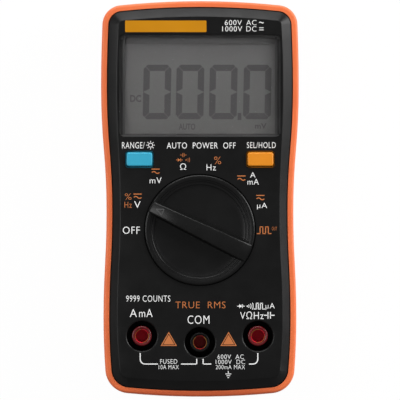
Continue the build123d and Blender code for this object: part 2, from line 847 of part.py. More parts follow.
with BuildPart() as knob_screw:
    with BuildSketch(Plane.XY.offset(carrier_under_z)):
        Circle(knob_screw_head)
    extrude(amount=knob_screw_head_height)
    with BuildSketch(Plane.XY.offset(carrier_under_z + knob_screw_head_height)):
        Circle(knob_screw_radius)
    extrude(amount=carrier_thickness - knob_screw_head_height + knob_screw_grip)
    with BuildSketch(Plane.XY.offset(carrier_under_z)):
        Rectangle(2 * knob_screw_radius, drive_slot)
        Rectangle(drive_slot, 2 * knob_screw_radius)
    extrude(amount=drive_depth, mode=Mode.SUBTRACT)
finish(knob_screw.part.moved(selector_place), "knob_screw")

# sprung wipers: flat under the carrier, then sloping down to the board
toe_top_z = board_top_z + finger_gap + finger_thickness
with BuildPart() as contact_fingers:
    for index in range(finger_count):
        finger_angle = 360 * index / finger_count + finger_start_angle
        wiper = Plane.XZ.rotated((0, 0, finger_angle))
        for rail in (-1, 1):
            with BuildSketch(wiper.offset(rail * finger_width)):
                with BuildLine():
                    Polyline(
                        (finger_radius - finger_reach, carrier_under_z),
                        (finger_radius - finger_reach, carrier_under_z - finger_thickness),
                        (finger_radius - finger_slope, carrier_under_z - finger_thickness),
                        (finger_radius, board_top_z + finger_gap),
                        (finger_radius + finger_toe, board_top_z + finger_gap),
                        (finger_radius + finger_toe, toe_top_z),
                        (finger_radius, toe_top_z),
                        (finger_radius - finger_slope, carrier_under_z),
                        close=True,
                    )
                make_face()
            extrude(amount=finger_width / 2, both=True)
        with BuildSketch(Plane.XY.offset(carrier_under_z - finger_thickness)):
            with Locations(Location((0, 0, 0), (0, 0, finger_angle))):
                with Locations((finger_radius - finger_reach + finger_width, 0)):
                    Rectangle(2 * finger_width, 2 * finger_width)
        extrude(amount=finger_thickness)
finish(contact_fingers.part.moved(selector_place), "contact_fingers")

# ---- sockets: black shroud, coloured sleeve and brass contact with its solder tail ----
for name, (place_x, place_y, side) in socket_places.items():
    with BuildPart() as shroud:
        with BuildSketch(Plane.XY.offset(shroud_bottom_z)):
            with Locations((place_x, place_y)):
                Circle(shroud_radius)
        extrude(amount=face_under_z - shroud_bottom_z)
        with BuildSketch(Plane.XY.offset(shroud_floor_z)):
            with Locations((place_x, place_y)):
                Circle(shroud_bore_radius)
        extrude(amount=face_under_z - shroud_floor_z, mode=Mode.SUBTRACT)
        with BuildSketch(Plane.XY.offset(shroud_bottom_z)):
            with Locations((place_x, place_y)):
                Circle(contact_radius + thread_gap)
        extrude(amount=shroud_floor, mode=Mode.SUBTRACT)
    finish(shroud.part, f"{name}_jack_shroud")

    with BuildPart() as sleeve:
        with BuildSketch(Plane.XY.offset(shroud_floor_z)):
            with Locations((place_x, place_y)):
                Circle(sleeve_radius)
        extrude(amount=sleeve_top_z - shroud_floor_z)
        fillet(sleeve.faces().sort_by(Axis.Z)[-1].edges(), sleeve_round)
        with BuildSketch(Plane.XY.offset(shroud_floor_z)):
            with Locations((place_x, place_y)):
                Circle(contact_radius + thread_gap)
        extrude(amount=contact_top_z - shroud_floor_z, mode=Mode.SUBTRACT)
        with BuildSketch(Plane.XY.offset(contact_top_z)):
            with Locations((place_x, place_y)):
                Circle(socket_radius)
        extrude(amount=sleeve_lip, mode=Mode.SUBTRACT)
    finish(sleeve.part, f"{name}_jack_sleeve")

    tail_y = place_y + side * (shroud_radius + tail_reach + tail_thickness / 2)
    with BuildPart() as contact:
        with BuildSketch(Plane.XY.offset(contact_bottom_z)):
            with Locations((place_x, place_y)):
                Circle(contact_radius)
        extrude(amount=contact_top_z - contact_bottom_z)
        with BuildSketch(Plane.XY.offset(socket_bottom_z)):
            with Locations((place_x, place_y)):
                Circle(socket_radius)
        extrude(amount=contact_top_z - socket_bottom_z, mode=Mode.SUBTRACT)
        with BuildSketch(Plane.XY.offset(contact_bottom_z - tail_thickness)):
            with Locations((place_x, (place_y + tail_y) / 2)):
                Rectangle(tail_breadth, abs(tail_y - place_y) + tail_thickness)
        extrude(amount=tail_thickness)
        with BuildSketch(Plane.XY.offset(contact_bottom_z - tail_thickness)):
            with Locations((place_x, tail_y)):
                Rectangle(tail_breadth, tail_thickness)
        extrude(amount=board_under_z - contact_bottom_z + tail_thickness)
    finish(contact.part, f"{name}_jack_contact")

# ---- main board ----
with BuildPart() as main_board:
    with BuildSketch(Plane.XY.offset(board_under_z)):
        add(case_outline(inner_inset + board_margin))
        with Locations(*boss_points):
            Circle(boss_radius + key_gap, mode=Mode.SUBTRACT)
        with Locations(*socket_points):
            Circle(shroud_radius + seam, mode=Mode.SUBTRACT)
        with Locations(*post_points):
            Circle(board_screw_radius + seam, mode=Mode.SUBTRACT)
        with Locations((0, selector_y)):
            Circle(spindle_hole_radius, mode=Mode.SUBTRACT)
    extrude(amount=board_thickness)
finish(main_board.part, "main_board")

with BuildPart() as board_screws:
    with BuildSketch(Plane.XY.offset(board_under_z - board_screw_head_height)):
        with Locations(*post_points):
            Circle(board_screw_head)
    extrude(amount=board_screw_head_height)
    with BuildSketch(Plane.XY.offset(board_under_z)):
        with Locations(*post_points):
            Circle(board_screw_radius)
    extrude(amount=board_screw_length)
    with BuildSketch(Plane.XY.offset(board_under_z - board_screw_head_height)):
        with Locations(*post_points):
            Rectangle(2 * board_screw_radius, drive_slot)
            Rectangle(drive_slot, 2 * board_screw_radius)
    extrude(amount=drive_depth, mode=Mode.SUBTRACT)
finish(board_screws.part, "board_screws")

# ---- components on the underside of the board ----
with BuildPart() as meter_chip:
    with BuildSketch(Plane.XY.offset(board_under_z - chip_thickness)):
        with Locations((0, chip_y)):
            Rectangle(chip_width, chip_width)
    extrude(amount=chip_thickness)
    chamfer(meter_chip.faces().sort_by(Axis.Z)[0].edges(), chip_bevel)
    with BuildSketch(Plane.XY.offset(board_under_z - chip_lead_thickness)):
        with Locations((0, chip_y)):
            with GridLocations(chip_width + chip_lead, chip_lead_spacing, 2, chip_leads_per_side):
                Rectangle(chip_lead, chip_lead_width)
            with GridLocations(chip_lead_spacing, chip_width + chip_lead, chip_leads_per_side, 2):
                Rectangle(chip_lead_width, chip_lead)
    extrude(amount=chip_lead_thickness)
finish(meter_chip.part, "meter_chip")

with BuildPart() as buzzer:
    with BuildSketch(Plane.XY.offset(board_under_z - buzzer_height)):
        with Locations((buzzer_x, buzzer_y)):
            Circle(buzzer_radius)
    extrude(amount=buzzer_height)
    fillet(buzzer.faces().sort_by(Axis.Z)[0].edges(), buzzer_round)
    with BuildSketch(Plane.XY.offset(board_under_z - buzzer_height)):
        with Locations((buzzer_x, buzzer_y)):
            Circle(buzzer_port_radius)
    extrude(amount=buzzer_port_depth, mode=Mode.SUBTRACT)
finish(buzzer.part, "buzzer")

with BuildPart() as crystal:
    with BuildSketch(Plane.XZ.offset(-(chip_y + crystal_length / 2))):
        with Locations((crystal_x, board_under_z - crystal_radius)):
            Circle(crystal_radius)
    extrude(amount=crystal_length)
finish(crystal.part, "crystal")

with BuildPart() as small_parts:
    with BuildSketch(Plane.XY.offset(board_under_z - resistor_height)):
        with Locations((0, chip_y)):
            with GridLocations(0, chip_width + 2 * resistor_row_gap, 1, 2):
                with GridLocations(resistor_spacing_x, resistor_spacing_y, 4, 2):
                    Rectangle(resistor_length, resistor_width)
    extrude(amount=resistor_height)
finish(small_parts.part, "small_parts")

# over-voltage discs standing on the board
with BuildPart() as thermistors:
    for side in (-1, 1):
        with BuildSketch(Plane.YZ.offset(side * disc_x - disc_thickness / 2)):
            with Locations((disc_y, board_under_z - disc_radius)):
                Circle(disc_radius)
        extrude(amount=disc_thickness)
finish(thermistors.part, "thermistors")

# thick wire bridge that carries the current being measured
with BuildPart() as current_shunt:
    with BuildLine(Plane.XZ.offset(-shunt_y)) as shunt_line:
        FilletPolyline(
            (shunt_x - shunt_span / 2, board_under_z),
            (shunt_x - shunt_span / 2, board_under_z - shunt_drop - shunt_radius),
            (shunt_x + shunt_span / 2, board_under_z - shunt_drop - shunt_radius),
            (shunt_x + shunt_span / 2, board_under_z),
            radius=shunt_bend,
        )
    with BuildSketch(Plane(shunt_line.line @ 0, z_dir=shunt_line.line % 0)):
        Circle(shunt_radius)
    sweep()
finish(current_shunt.part, "current_shunt")

# ---- two fuses with their end caps and spring clips ----
fuse_z = board_under_z - clip_thickness - fuse_radius - thread_gap
for name, fuse_y in (("amp", amp_fuse_y), ("milliamp", milliamp_fuse_y)):
    with BuildPart() as tube:
        with BuildSketch(Plane.YZ.offset(-fuse_length / 2 + fuse_cap_wall)):
            with Locations((fuse_y, fuse_z)):
                Circle(fuse_radius - fuse_cap_wall)
        extrude(amount=fuse_length - 2 * fuse_cap_wall)
    finish(tube.part, f"{name}_fuse_tube")

    with BuildPart() as caps:
        for side in (-1, 1):
            with BuildSketch(Plane.YZ.offset(side * fuse_length / 2)):
                with Locations((fuse_y, fuse_z)):
                    Circle(fuse_radius)
            extrude(amount=-side * fuse_cap_length)
            with BuildSketch(Plane.YZ.offset(side * (fuse_length / 2 - fuse_cap_wall))):
                with Locations((fuse_y, fuse_z)):
                    Circle(fuse_radius - fuse_cap_wall)
            extrude(amount=-side * fuse_cap_length, mode=Mode.SUBTRACT)
    finish(caps.part, f"{name}_fuse_caps")

    with BuildPart() as clips:
        with BuildSketch(Plane.XY.offset(board_under_z - clip_thickness)):
            with Locations((0, fuse_y)):
                with GridLocations(fuse_length - fuse_cap_length, 0, 2, 1):
                    Rectangle(clip_length, 2 * clip_outside)
        extrude(amount=clip_thickness)
        with BuildSketch(Plane.XY.offset(fuse_z - clip_drop)):
            with Locations((0, fuse_y)):
                with GridLocations(
                    fuse_length - fuse_cap_length, 2 * clip_inside + clip_thickness, 2, 2
                ):
                    Rectangle(clip_length, clip_thickness)
        extrude(amount=board_under_z - fuse_z + clip_drop)
    finish(clips.part, f"{name}_fuse_clips")

# ---- rear shell: black back with the battery bay, stand recess and bosses ----
door_length = door_top_y - door_bottom_y
door_centre_y = (door_top_y + door_bottom_y) / 2
with BuildPart() as rear_shell:
    with BuildSketch():
        add(case_outline(shell_inset))
    extrude(amount=parting_z)
    chamfer(rear_shell.faces().sort_by(Axis.Z)[0].edges(), back_chamfer)
    with BuildSketch(Plane.XY.offset(wall)):
        add(case_outline(inner_inset))
    extrude(amount=parting_z - wall, mode=Mode.SUBTRACT)
    # stand recess
    with BuildSketch():
        with Locations((0, stand_centre_y)):
            Rectangle(recess_width + 2 * wall, recess_length + 2 * wall)
    extrude(amount=recess_top_z + wall)
    with BuildSketch():
        with Locations((0, stand_centre_y)):
            Rectangle(recess_width, recess_length)
    extrude(amount=recess_top_z, mode=Mode.SUBTRACT)
    with BuildSketch():
        with Locations((0, stand_centre_y - recess_length / 2)):
            RectangleRounded(notch_width, 2 * notch_depth, notch_corner)
    extrude(amount=notch_height, mode=Mode.SUBTRACT)
    with BuildSketch(Plane.YZ.offset(-recess_width / 2 - pivot_length)):
        with Locations((stand_pivot_y, pivot_z)):
            Circle(pivot_radius + running_gap)
    extrude(amount=recess_width + 2 * pivot_length, mode=Mode.SUBTRACT)
    # battery bay
    with BuildSketch(Plane.XY.offset(door_thickness)):
        with Locations((0, bay_y)):
            Rectangle(bay_length + 2 * bay_wall, bay_width + 2 * bay_wall)
    extrude(amount=bay_top_z + bay_wall - door_thickness)
    with BuildSketch():
        with Locations((0, bay_y)):
            Rectangle(bay_length, bay_width)
    extrude(amount=bay_top_z, mode=Mode.SUBTRACT)
    with BuildSketch():
        with Locations((0, door_screw_y)):
            Circle(door_screw_head + bay_wall)
    extrude(amount=door_boss_z)
    with BuildSketch():
        with Locations((0, door_centre_y)):
            RectangleRounded(
                door_width + 2 * seam, door_length + 2 * seam, door_corner + seam
            )
    extrude(amount=door_thickness, mode=Mode.SUBTRACT)
    with BuildSketch(Plane.XY.offset(door_thickness)):
        with Locations((0, door_screw_y)):
            Circle(door_screw_radius + thread_gap)
    extrude(amount=door_boss_z - door_thickness, mode=Mode.SUBTRACT)
    # slots for the contact tabs
    with BuildSketch(Plane.XY.offset(bay_top_z)):
        for side in (-1, 1):
            with Locations((-bay_length / 2 + terminal_thickness / 2, bay_y + side * cell_pitch / 2)):
                Rectangle(terminal_thickness + 2 * seam, terminal_tab + 2 * seam)
    extrude(amount=bay_wall, mode=Mode.SUBTRACT)
    # case bosses with sunk screw heads
    with BuildSketch(Plane.XY.offset(wall)):
        with Locations(*boss_points):
            Circle(boss_radius + seam)
    extrude(amount=parting_z - wall)
    with BuildSketch():
        with Locations(*boss_points):
            Circle(case_screw_head + seam)
    extrude(amount=case_screw_sink + case_screw_head_height, mode=Mode.SUBTRACT)
    with BuildSketch():
        with Locations(*boss_points):
            Circle(case_screw_radius + seam)
    extrude(amount=parting_z, mode=Mode.SUBTRACT)
    # rebate for the lip of the front shell
    with BuildSketch(Plane.XY.offset(parting_z - lip_height - seam)):
        add(case_outline(inner_inset - lip_thickness - seam / 2))
        add(case_outline(inner_inset + seam / 2), mode=Mode.SUBTRACT)
    extrude(amount=lip_height + seam, mode=Mode.SUBTRACT)
finish(rear_shell.part, "rear_shell")

# ---- rear jacket ----
with BuildPart() as rear_bumper:
    with BuildSketch(Plane.XY.offset(jacket_foot_z)):
        add(case_outline(0))
    extrude(amount=parting_z - jacket_foot_z)
    fillet(rear_bumper.faces().sort_by(Axis.Z)[0].edges(), jacket_foot_round)
    with BuildSketch(Plane.XY.offset(jacket_foot_z)):
        add(case_outline(shell_inset))
    extrude(amount=parting_z - jacket_foot_z, mode=Mode.SUBTRACT)
    for side in (-1, 1):
        with BuildSketch(Plane.XY.offset(parting_z - grip_margin - grip_height)):
            with Locations((side * (waist_width / 2), grip_y)):
                with GridLocations(0, grip_spacing, 1, grip_count):
                    Rectangle(2 * grip_depth, grip_width)
        extrude(amount=grip_height, mode=Mode.SUBTRACT)
finish(rear_bumper.part, "rear_bumper")

with BuildPart() as case_screws:
    head_z = case_screw_sink + case_screw_head_height
    with BuildSketch(Plane.XY.offset(case_screw_sink)):
        with Locations(*boss_points):
            Circle(case_screw_head)
    extrude(amount=case_screw_head_height)
    with BuildSketch(Plane.XY.offset(head_z)):
        with Locations(*boss_points):
            Circle(case_screw_radius)
    extrude(amount=parting_z - head_z + case_screw_grip)
    with BuildSketch(Plane.XY.offset(case_screw_sink)):
        with Locations(*boss_points):
            Rectangle(2 * case_screw_radius, drive_slot)
            Rectangle(drive_slot, 2 * case_screw_radius)
    extrude(amount=drive_depth, mode=Mode.SUBTRACT)
finish(case_screws.part, "case_screws")

# ---- battery door and its screw ----
with BuildPart() as battery_door:
    with BuildSketch():
        with Locations((0, door_centre_y)):
            RectangleRounded(door_width, door_length, door_corner)
    extrude(amount=door_thickness)
    with BuildSketch():
        with Locations((0, door_top_y - door_rib_inset)):
            with GridLocations(0, door_rib_spacing, 1, 3):
                Rectangle(door_rib_length, door_rib_spacing / 2)
    extrude(amount=door_rib_depth, mode=Mode.SUBTRACT)
    with BuildSketch():
        with Locations((0, door_screw_y)):
            Circle(door_screw_head + seam)
    extrude(amount=door_screw_seat_z, mode=Mode.SUBTRACT)
    with BuildSketch():
        with Locations((0, door_screw_y)):
            Circle(door_screw_radius + seam)
    extrude(amount=door_thickness, mode=Mode.SUBTRACT)
finish(battery_door.part, "battery_door")

with BuildPart() as battery_door_screw:
    with BuildSketch(Plane.XY.offset(door_screw_sink)):
        with Locations((0, door_screw_y)):
            Circle(door_screw_head)
    extrude(amount=door_screw_head_height)
    with BuildSketch(Plane.XY.offset(door_screw_seat_z)):
        with Locations((0, door_screw_y)):
            Circle(door_screw_radius)
    extrude(amount=door_screw_length)
    with BuildSketch(Plane.XY.offset(door_screw_sink)):
        with Locations((0, door_screw_y)):
            Rectangle(2 * door_screw_radius, drive_slot)
            Rectangle(drive_slot, 2 * door_screw_radius)
    extrude(amount=drive_depth, mode=Mode.SUBTRACT)
finish(battery_door_screw.part, "battery_door_screw")

# ---- two AAA cells, head to tail, with their contacts ----
for name, side in (("upper", 1), ("lower", -1)):
    cell_y = bay_y + side * cell_pitch / 2
    nub_x = side * (bay_length / 2 - terminal_thickness)
    with BuildPart() as cell:
        with BuildSketch(Plane.YZ.offset(nub_x)):
            with Locations((cell_y, cell_z)):
                Circle(nub_radius)
        extrude(amount=-side * nub_length)
        with BuildSketch(Plane.YZ.offset(nub_x - side * nub_length)):
            with Locations((cell_y, cell_z)):
                Circle(cell_radius)
        extrude(amount=-side * cell_length)
    finish(cell.part, f"{name}_cell")

with BuildPart() as battery_link:
    with BuildSketch(Plane.YZ.offset(bay_length / 2 - terminal_thickness)):
        with Locations((bay_y, cell_z)):
            Rectangle(cell_pitch + terminal_size, terminal_size)
    extrude(amount=terminal_thickness)
finish(battery_link.part, "battery_link")

with BuildPart() as battery_terminals:
    for side in (-1, 1):
        with BuildSketch(Plane.YZ.offset(-bay_length / 2)):
            with Locations((bay_y + side * cell_pitch / 2, cell_z)):
                Rectangle(terminal_size, terminal_size)
            with Locations((bay_y + side * cell_pitch / 2, (cell_z + board_under_z) / 2)):
                Rectangle(terminal_tab, board_under_z - cell_z)
        extrude(amount=terminal_thickness)
finish(battery_terminals.part, "battery_terminals")

spring_room = bay_length - 2 * terminal_thickness - nub_length - cell_length
for name, side in (("upper", 1), ("lower", -1)):
    seat = Plane(
        (-side * (bay_length / 2 - terminal_thickness), bay_y + side * cell_pitch / 2, cell_z),
        x_dir=(0, 1, 0),
        z_dir=(side, 0, 0),
    )
    cell_spring = coil_spring(spring_room, spring_radius, spring_wire, spring_turns)
    finish(cell_spring.moved(seat.location), f"{name}_cell_spring")

# ---- tilting stand with its two pivot nubs ----
panel_width = stand_width - 2 * panel_side_margin
panel_length = stand_length - 2 * panel_end_margin
with BuildPart() as tilt_stand:
    with BuildSketch(Plane.XY.offset(stand_rest_z)):
        with Locations((0, stand_centre_y)):
            Rectangle(stand_width, stand_length)
    extrude(amount=stand_thickness)
    fillet(tilt_stand.edges().filter_by(Axis.Z).group_by(Axis.Y)[0], stand_corner)
    fillet(tilt_stand.edges().filter_by(Axis.X).group_by(Axis.Y)[-1], stand_end_round)
    with BuildSketch(Plane.YZ.offset(-stand_width / 2 - pivot_length)):
        with Locations((stand_pivot_y, pivot_z)):
            Circle(pivot_radius)
    extrude(amount=stand_width + 2 * pivot_length)
    with BuildSketch(Plane.XY.offset(stand_rest_z)):
        with Locations((0, stand_centre_y - panel_shift)):
            RectangleRounded(panel_width, panel_length, panel_corner)
            RectangleRounded(
                panel_width - 2 * panel_groove,
                panel_length - 2 * panel_groove,
                panel_corner - panel_groove,
                mode=Mode.SUBTRACT,
            )
    extrude(amount=panel_depth, mode=Mode.SUBTRACT)
finish(tilt_stand.part, "tilt_stand")
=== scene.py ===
import json
import math

import bmesh
import bpy
from mathutils import Matrix, Vector


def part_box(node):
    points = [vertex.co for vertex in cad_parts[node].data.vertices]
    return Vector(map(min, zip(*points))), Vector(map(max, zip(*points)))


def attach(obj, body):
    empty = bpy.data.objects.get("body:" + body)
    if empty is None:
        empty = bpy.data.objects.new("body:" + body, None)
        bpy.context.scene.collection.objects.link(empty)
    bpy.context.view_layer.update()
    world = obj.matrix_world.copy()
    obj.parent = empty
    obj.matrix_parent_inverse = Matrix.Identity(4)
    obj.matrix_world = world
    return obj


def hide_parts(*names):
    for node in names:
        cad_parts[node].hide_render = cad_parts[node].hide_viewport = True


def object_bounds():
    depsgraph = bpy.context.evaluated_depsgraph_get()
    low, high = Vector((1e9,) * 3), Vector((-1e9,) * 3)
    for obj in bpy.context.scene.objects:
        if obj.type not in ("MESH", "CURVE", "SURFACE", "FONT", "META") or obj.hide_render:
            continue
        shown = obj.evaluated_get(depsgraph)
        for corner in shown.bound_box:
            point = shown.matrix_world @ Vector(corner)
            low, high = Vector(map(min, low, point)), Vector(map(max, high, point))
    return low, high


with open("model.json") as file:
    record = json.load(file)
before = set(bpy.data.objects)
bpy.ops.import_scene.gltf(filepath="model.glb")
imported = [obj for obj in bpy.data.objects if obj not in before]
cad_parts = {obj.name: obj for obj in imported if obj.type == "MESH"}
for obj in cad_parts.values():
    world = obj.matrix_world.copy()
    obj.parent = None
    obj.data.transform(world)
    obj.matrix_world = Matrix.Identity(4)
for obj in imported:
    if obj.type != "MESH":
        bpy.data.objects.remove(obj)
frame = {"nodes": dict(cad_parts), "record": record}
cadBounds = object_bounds()
parts = frame["nodes"]
mm = 0.001


def middle(part):
    low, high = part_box(part)
    return (Vector(low) + Vector(high)) / 2


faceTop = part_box("front_shell")[1][2]
print("frame loaded:", len(parts), "parts")


# finishes
# Colours are written as 0 to 255 levels, and grain sizes and bump depths in mm.
# Every finish reads Object coordinates, so its grain keeps its real size.

def tint(r, g, b):
    levels = []
    for level in (r / 255, g / 255, b / 255):
        levels.append(level / 12.92 if level <= 0.04045 else ((level + 0.055) / 1.055) ** 2.4)
    return (*levels, 1)


def addNode(tree, kind, settings=None, sockets=None):
    node = tree.nodes.new(kind)
    for name, value in (settings or {}).items():
        setattr(node, name, value)
    for name, value in (sockets or {}).items():
        node.inputs[name].default_value = value
    return node


def startFinish(name):
    finish = bpy.data.materials.new(name)
    finish.use_nodes = True
    tree = finish.node_tree
    shader = tree.nodes["Principled BSDF"]
    place = addNode(tree, "ShaderNodeTexCoord").outputs["Object"]
    return finish, tree, shader, place


def addGrain(tree, place, size, detail=3, stretch=(1, 1, 1)):
    turn = addNode(tree, "ShaderNodeMapping", sockets={"Scale": stretch})
    grain = addNode(tree, "ShaderNodeTexNoise", sockets={"Scale": 1 / (size * mm), "Detail": detail})
    tree.links.new(place, turn.inputs["Vector"])
    tree.links.new(turn.outputs["Vector"], grain.inputs["Vector"])
    return grain.outputs["Fac"]


def spread(tree, value, low, high, fromLow=0.3, fromHigh=0.7):
    span = addNode(tree, "ShaderNodeMapRange", sockets={
        "From Min": fromLow, "From Max": fromHigh, "To Min": low, "To Max": high})
    tree.links.new(value, span.inputs["Value"])
    return span.outputs["Result"]


# Each of the two colours may be a fixed tint or another node's output.
def blendTints(tree, share, first, second):
    mixed = addNode(tree, "ShaderNodeMix", {"data_type": "RGBA"})
    for name, value in (("A", first), ("B", second)):
        if isinstance(value, bpy.types.NodeSocket):
            tree.links.new(value, mixed.inputs[name])
        else:
            mixed.inputs[name].default_value = value
    tree.links.new(share, mixed.inputs["Factor"])
    return mixed.outputs["Result"]


def colourBy(tree, shader, share, first, second):
    tree.links.new(blendTints(tree, share, first, second), shader.inputs["Base Color"])


def roughenBy(tree, shader, grain, low, high):
    tree.links.new(spread(tree, grain, low, high), shader.inputs["Roughness"])


def addBump(tree, shader, height, depth):
    bump = addNode(tree, "ShaderNodeBump", sockets={"Strength": 1, "Distance": depth * mm})
    tree.links.new(height, bump.inputs["Height"])
    tree.links.new(bump.outputs["Normal"], shader.inputs["Normal"])


def mixShaders(tree, share, first, second, end="Material Output"):
    mixed = addNode(tree, "ShaderNodeMixShader")
    tree.links.new(share, mixed.inputs["Fac"])
    tree.links.new(first, mixed.inputs[1])
    tree.links.new(second, mixed.inputs[2])
    tree.links.new(mixed.outputs["Shader"], tree.nodes[end].inputs["Surface"])


# The Y place of a point, which runs along the case.
def splitLength(tree, place):
    split = addNode(tree, "ShaderNodeSeparateXYZ")
    tree.links.new(place, split.inputs["Vector"])
    return split.outputs["Y"]


mouldedBase = {"cloud": 14, "patch": 5, "roughSpread": 0.05, "shine": 0.5}
metalBase = {"stain": 2.5, "line": 0.12, "along": (1, 1, 0.06), "smoother": 0.08, "rougher": 0.1,
             "depth": 0.006}
plasticLooks = {
    "black_shell": {"colour": (15, 15, 15), "deep": (13, 13, 13),
                    "rough": 0.36, "grain": 0.22, "depth": 0.004, "shine": 0.22},
    "black_knob": {"colour": (14, 14, 14), "deep": (12, 12, 12),
                   "rough": 0.32, "grain": 0.3, "depth": 0.003, "shine": 0.28},
    "orange_jacket": {"colour": (226, 111, 60), "deep": (220, 104, 54),
                      "rough": 0.46, "grain": 0.16, "depth": 0.008},
    "adhesive": {"colour": (66, 66, 66), "deep": (60, 60, 60),
                 "rough": 0.7, "grain": 0.4, "depth": 0.01},
    "yellow_label": {"colour": (187, 125, 7), "deep": (180, 119, 5),
                     "rough": 0.45, "grain": 0.5, "depth": 0.004, "shine": 0.2},
    "black_inner": {"colour": (17, 17, 17), "deep": (14, 14, 14),
                    "rough": 0.5, "grain": 0.3, "depth": 0.008, "shine": 0.25},
    "zebra_rubber": {"colour": (48, 47, 46), "deep": (38, 37, 36),
                     "rough": 0.7, "grain": 0.2, "depth": 0.01},
    "white_plastic": {"colour": (232, 232, 228), "deep": (222, 222, 217),
                      "rough": 0.5, "grain": 0.3, "depth": 0.006},
    "light_guide": {"colour": (226, 232, 236), "deep": (214, 224, 230),
                    "rough": 0.25, "grain": 0.6, "depth": 0.004},
    "blue_key": {"colour": (51, 156, 186), "deep": (46, 150, 181),
                 "rough": 0.4, "grain": 0.25, "depth": 0.004, "shine": 0.35},
    "orange_key": {"colour": (214, 132, 27), "deep": (208, 126, 23),
                   "rough": 0.4, "grain": 0.25, "depth": 0.004, "shine": 0.35},
    "component_ceramic": {"colour": (36, 35, 34), "deep": (28, 27, 27),
                          "rough": 0.5, "grain": 0.2, "depth": 0.006},
    "disc_blue": {"colour": (40, 84, 150), "deep": (33, 72, 134),
                  "rough": 0.4, "grain": 0.4, "depth": 0.01},
    "fuse_ceramic": {"colour": (226, 221, 208), "deep": (214, 208, 192),
                     "rough": 0.4, "grain": 0.3, "depth": 0.006},
    "red_sleeve": {"colour": (92, 12, 18), "deep": (80, 9, 14),
                   "rough": 0.28, "grain": 0.25, "depth": 0.006},
    "black_sleeve": {"colour": (11, 9, 9), "deep": (9, 8, 8),
                     "rough": 0.4, "grain": 0.25, "depth": 0.006, "shine": 0.14},
}
metalLooks = {
    "spring_brass": {"colour": (212, 178, 104), "deep": (182, 142, 74), "rough": 0.3},
    "steel": {"colour": (176, 178, 180), "deep": (128, 128, 128), "rough": 0.32},
    "shunt_metal": {"colour": (196, 172, 142), "deep": (164, 134, 104), "rough": 0.38},
    "nickel": {"colour": (204, 202, 196), "deep": (172, 170, 164), "rough": 0.26},
    "brass": {"colour": (206, 172, 98), "deep": (158, 122, 62), "rough": 0.3},
}


def moulded(name, look):
    look = {**mouldedBase, **look}
    finish, tree, shader, place = startFinish(name)
    clouds = spread(tree, addGrain(tree, place, look["cloud"], 2), 0, 1)
    colourBy(tree, shader, clouds, tint(*look["colour"]), tint(*look["deep"]))
    patches, rough, vary = addGrain(tree, place, look["patch"], 4), look["rough"], look["roughSpread"]
    roughenBy(tree, shader, patches, rough - vary, rough + vary)
    addBump(tree, shader, addGrain(tree, place, look["grain"], 2), look["depth"])
    shader.inputs["Specular IOR Level"].default_value = look["shine"]
    return finish


def stained(tree, place, look):
    stain = spread(tree, addGrain(tree, place, metalBase["stain"], 5), 0, 1, 0.35, 0.75)
    return blendTints(tree, stain, tint(*look["colour"]), tint(*look["deep"]))


def metal(name, look):
    look = {**metalBase, **look}
    finish, tree, shader, place = startFinish(name)
    tree.links.new(stained(tree, place, look), shader.inputs["Base Color"])
    shader.inputs["Metallic"].default_value = 1
    lines = addGrain(tree, place, look["line"], 3, look["along"])
    roughenBy(tree, shader, lines, look["rough"] - look["smoother"], look["rough"] + look["rougher"])
    addBump(tree, shader, lines, look["depth"])
    return finish


def boardFinish():
    look = {"mask": (22, 74, 44), "track": (34, 98, 58), "spacing": 1.3, "loose": 0.7,
            "edge": (0.38, 0.42), "patch": 3, "rough": (0.3, 0.42), "depth": 0.03}
    finish, tree, shader, place = startFinish("board")
    tracks = addNode(tree, "ShaderNodeTexVoronoi", {"distance": "CHEBYCHEV", "feature": "F1"},
                     {"Scale": 1 / (look["spacing"] * mm), "Randomness": look["loose"]})
    tree.links.new(place, tracks.inputs["Vector"])
    share = spread(tree, tracks.outputs["Distance"], 0, 1, *look["edge"])
    colourBy(tree, shader, share, tint(*look["mask"]), tint(*look["track"]))
    roughenBy(tree, shader, addGrain(tree, place, look["patch"]), *look["rough"])
    addBump(tree, shader, share, look["depth"])
    return finish


def cellFinish():
    look = {"body": (38, 40, 44), "deep": (32, 34, 38), "cloud": 6, "patch": 1.5,
            "rough": (0.27, 0.4), "grain": 0.5, "depth": 0.004}
    finish, tree, shader, place = startFinish("cell_jacket")
    clouds = spread(tree, addGrain(tree, place, look["cloud"]), 0, 1)
    colourBy(tree, shader, clouds, tint(*look["body"]), tint(*look["deep"]))
    roughenBy(tree, shader, addGrain(tree, place, look["patch"]), *look["rough"])
    addBump(tree, shader, addGrain(tree, place, look["grain"]), look["depth"])
    return finish


# The glass is painted a little lighter towards its top: a painted gradient of light.
def lcdFinish():
    look = {"top": (63, 63, 63), "bottom": (59, 59, 58), "patch": 1.2, "rough": (0.5, 0.6),
            "grain": 0.12, "depth": 0.004}
    finish, tree, shader, place = startFinish("lcd")
    low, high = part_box("lcd_glass")
    paintedLightRise = spread(tree, splitLength(tree, place), 0, 1, low[1], high[1])
    colourBy(tree, shader, paintedLightRise, tint(*look["bottom"]), tint(*look["top"]))
    roughenBy(tree, shader, addGrain(tree, place, look["patch"]), *look["rough"])
    addBump(tree, shader, addGrain(tree, place, look["grain"]), look["depth"])
    return finish


# Clear to the eye and to shadows, with a weak mirror so that lamps don't hide the digits.
def windowFinish():
    look = {"colour": (248, 247, 247), "ior": 1.06, "patch": 3, "rough": (0.004, 0.02)}
    finish, tree, shader, place = startFinish("clear_window")
    shader.inputs["Base Color"].default_value = tint(*look["colour"])
    shader.inputs["IOR"].default_value = look["ior"]
    shader.inputs["Transmission Weight"].default_value = 1
    roughenBy(tree, shader, addGrain(tree, place, look["patch"]), *look["rough"])
    clear = addNode(tree, "ShaderNodeBsdfTransparent")
    path = addNode(tree, "ShaderNodeLightPath")
    mixShaders(tree, path.outputs["Is Shadow Ray"], shader.outputs["BSDF"], clear.outputs["BSDF"])
    return finish
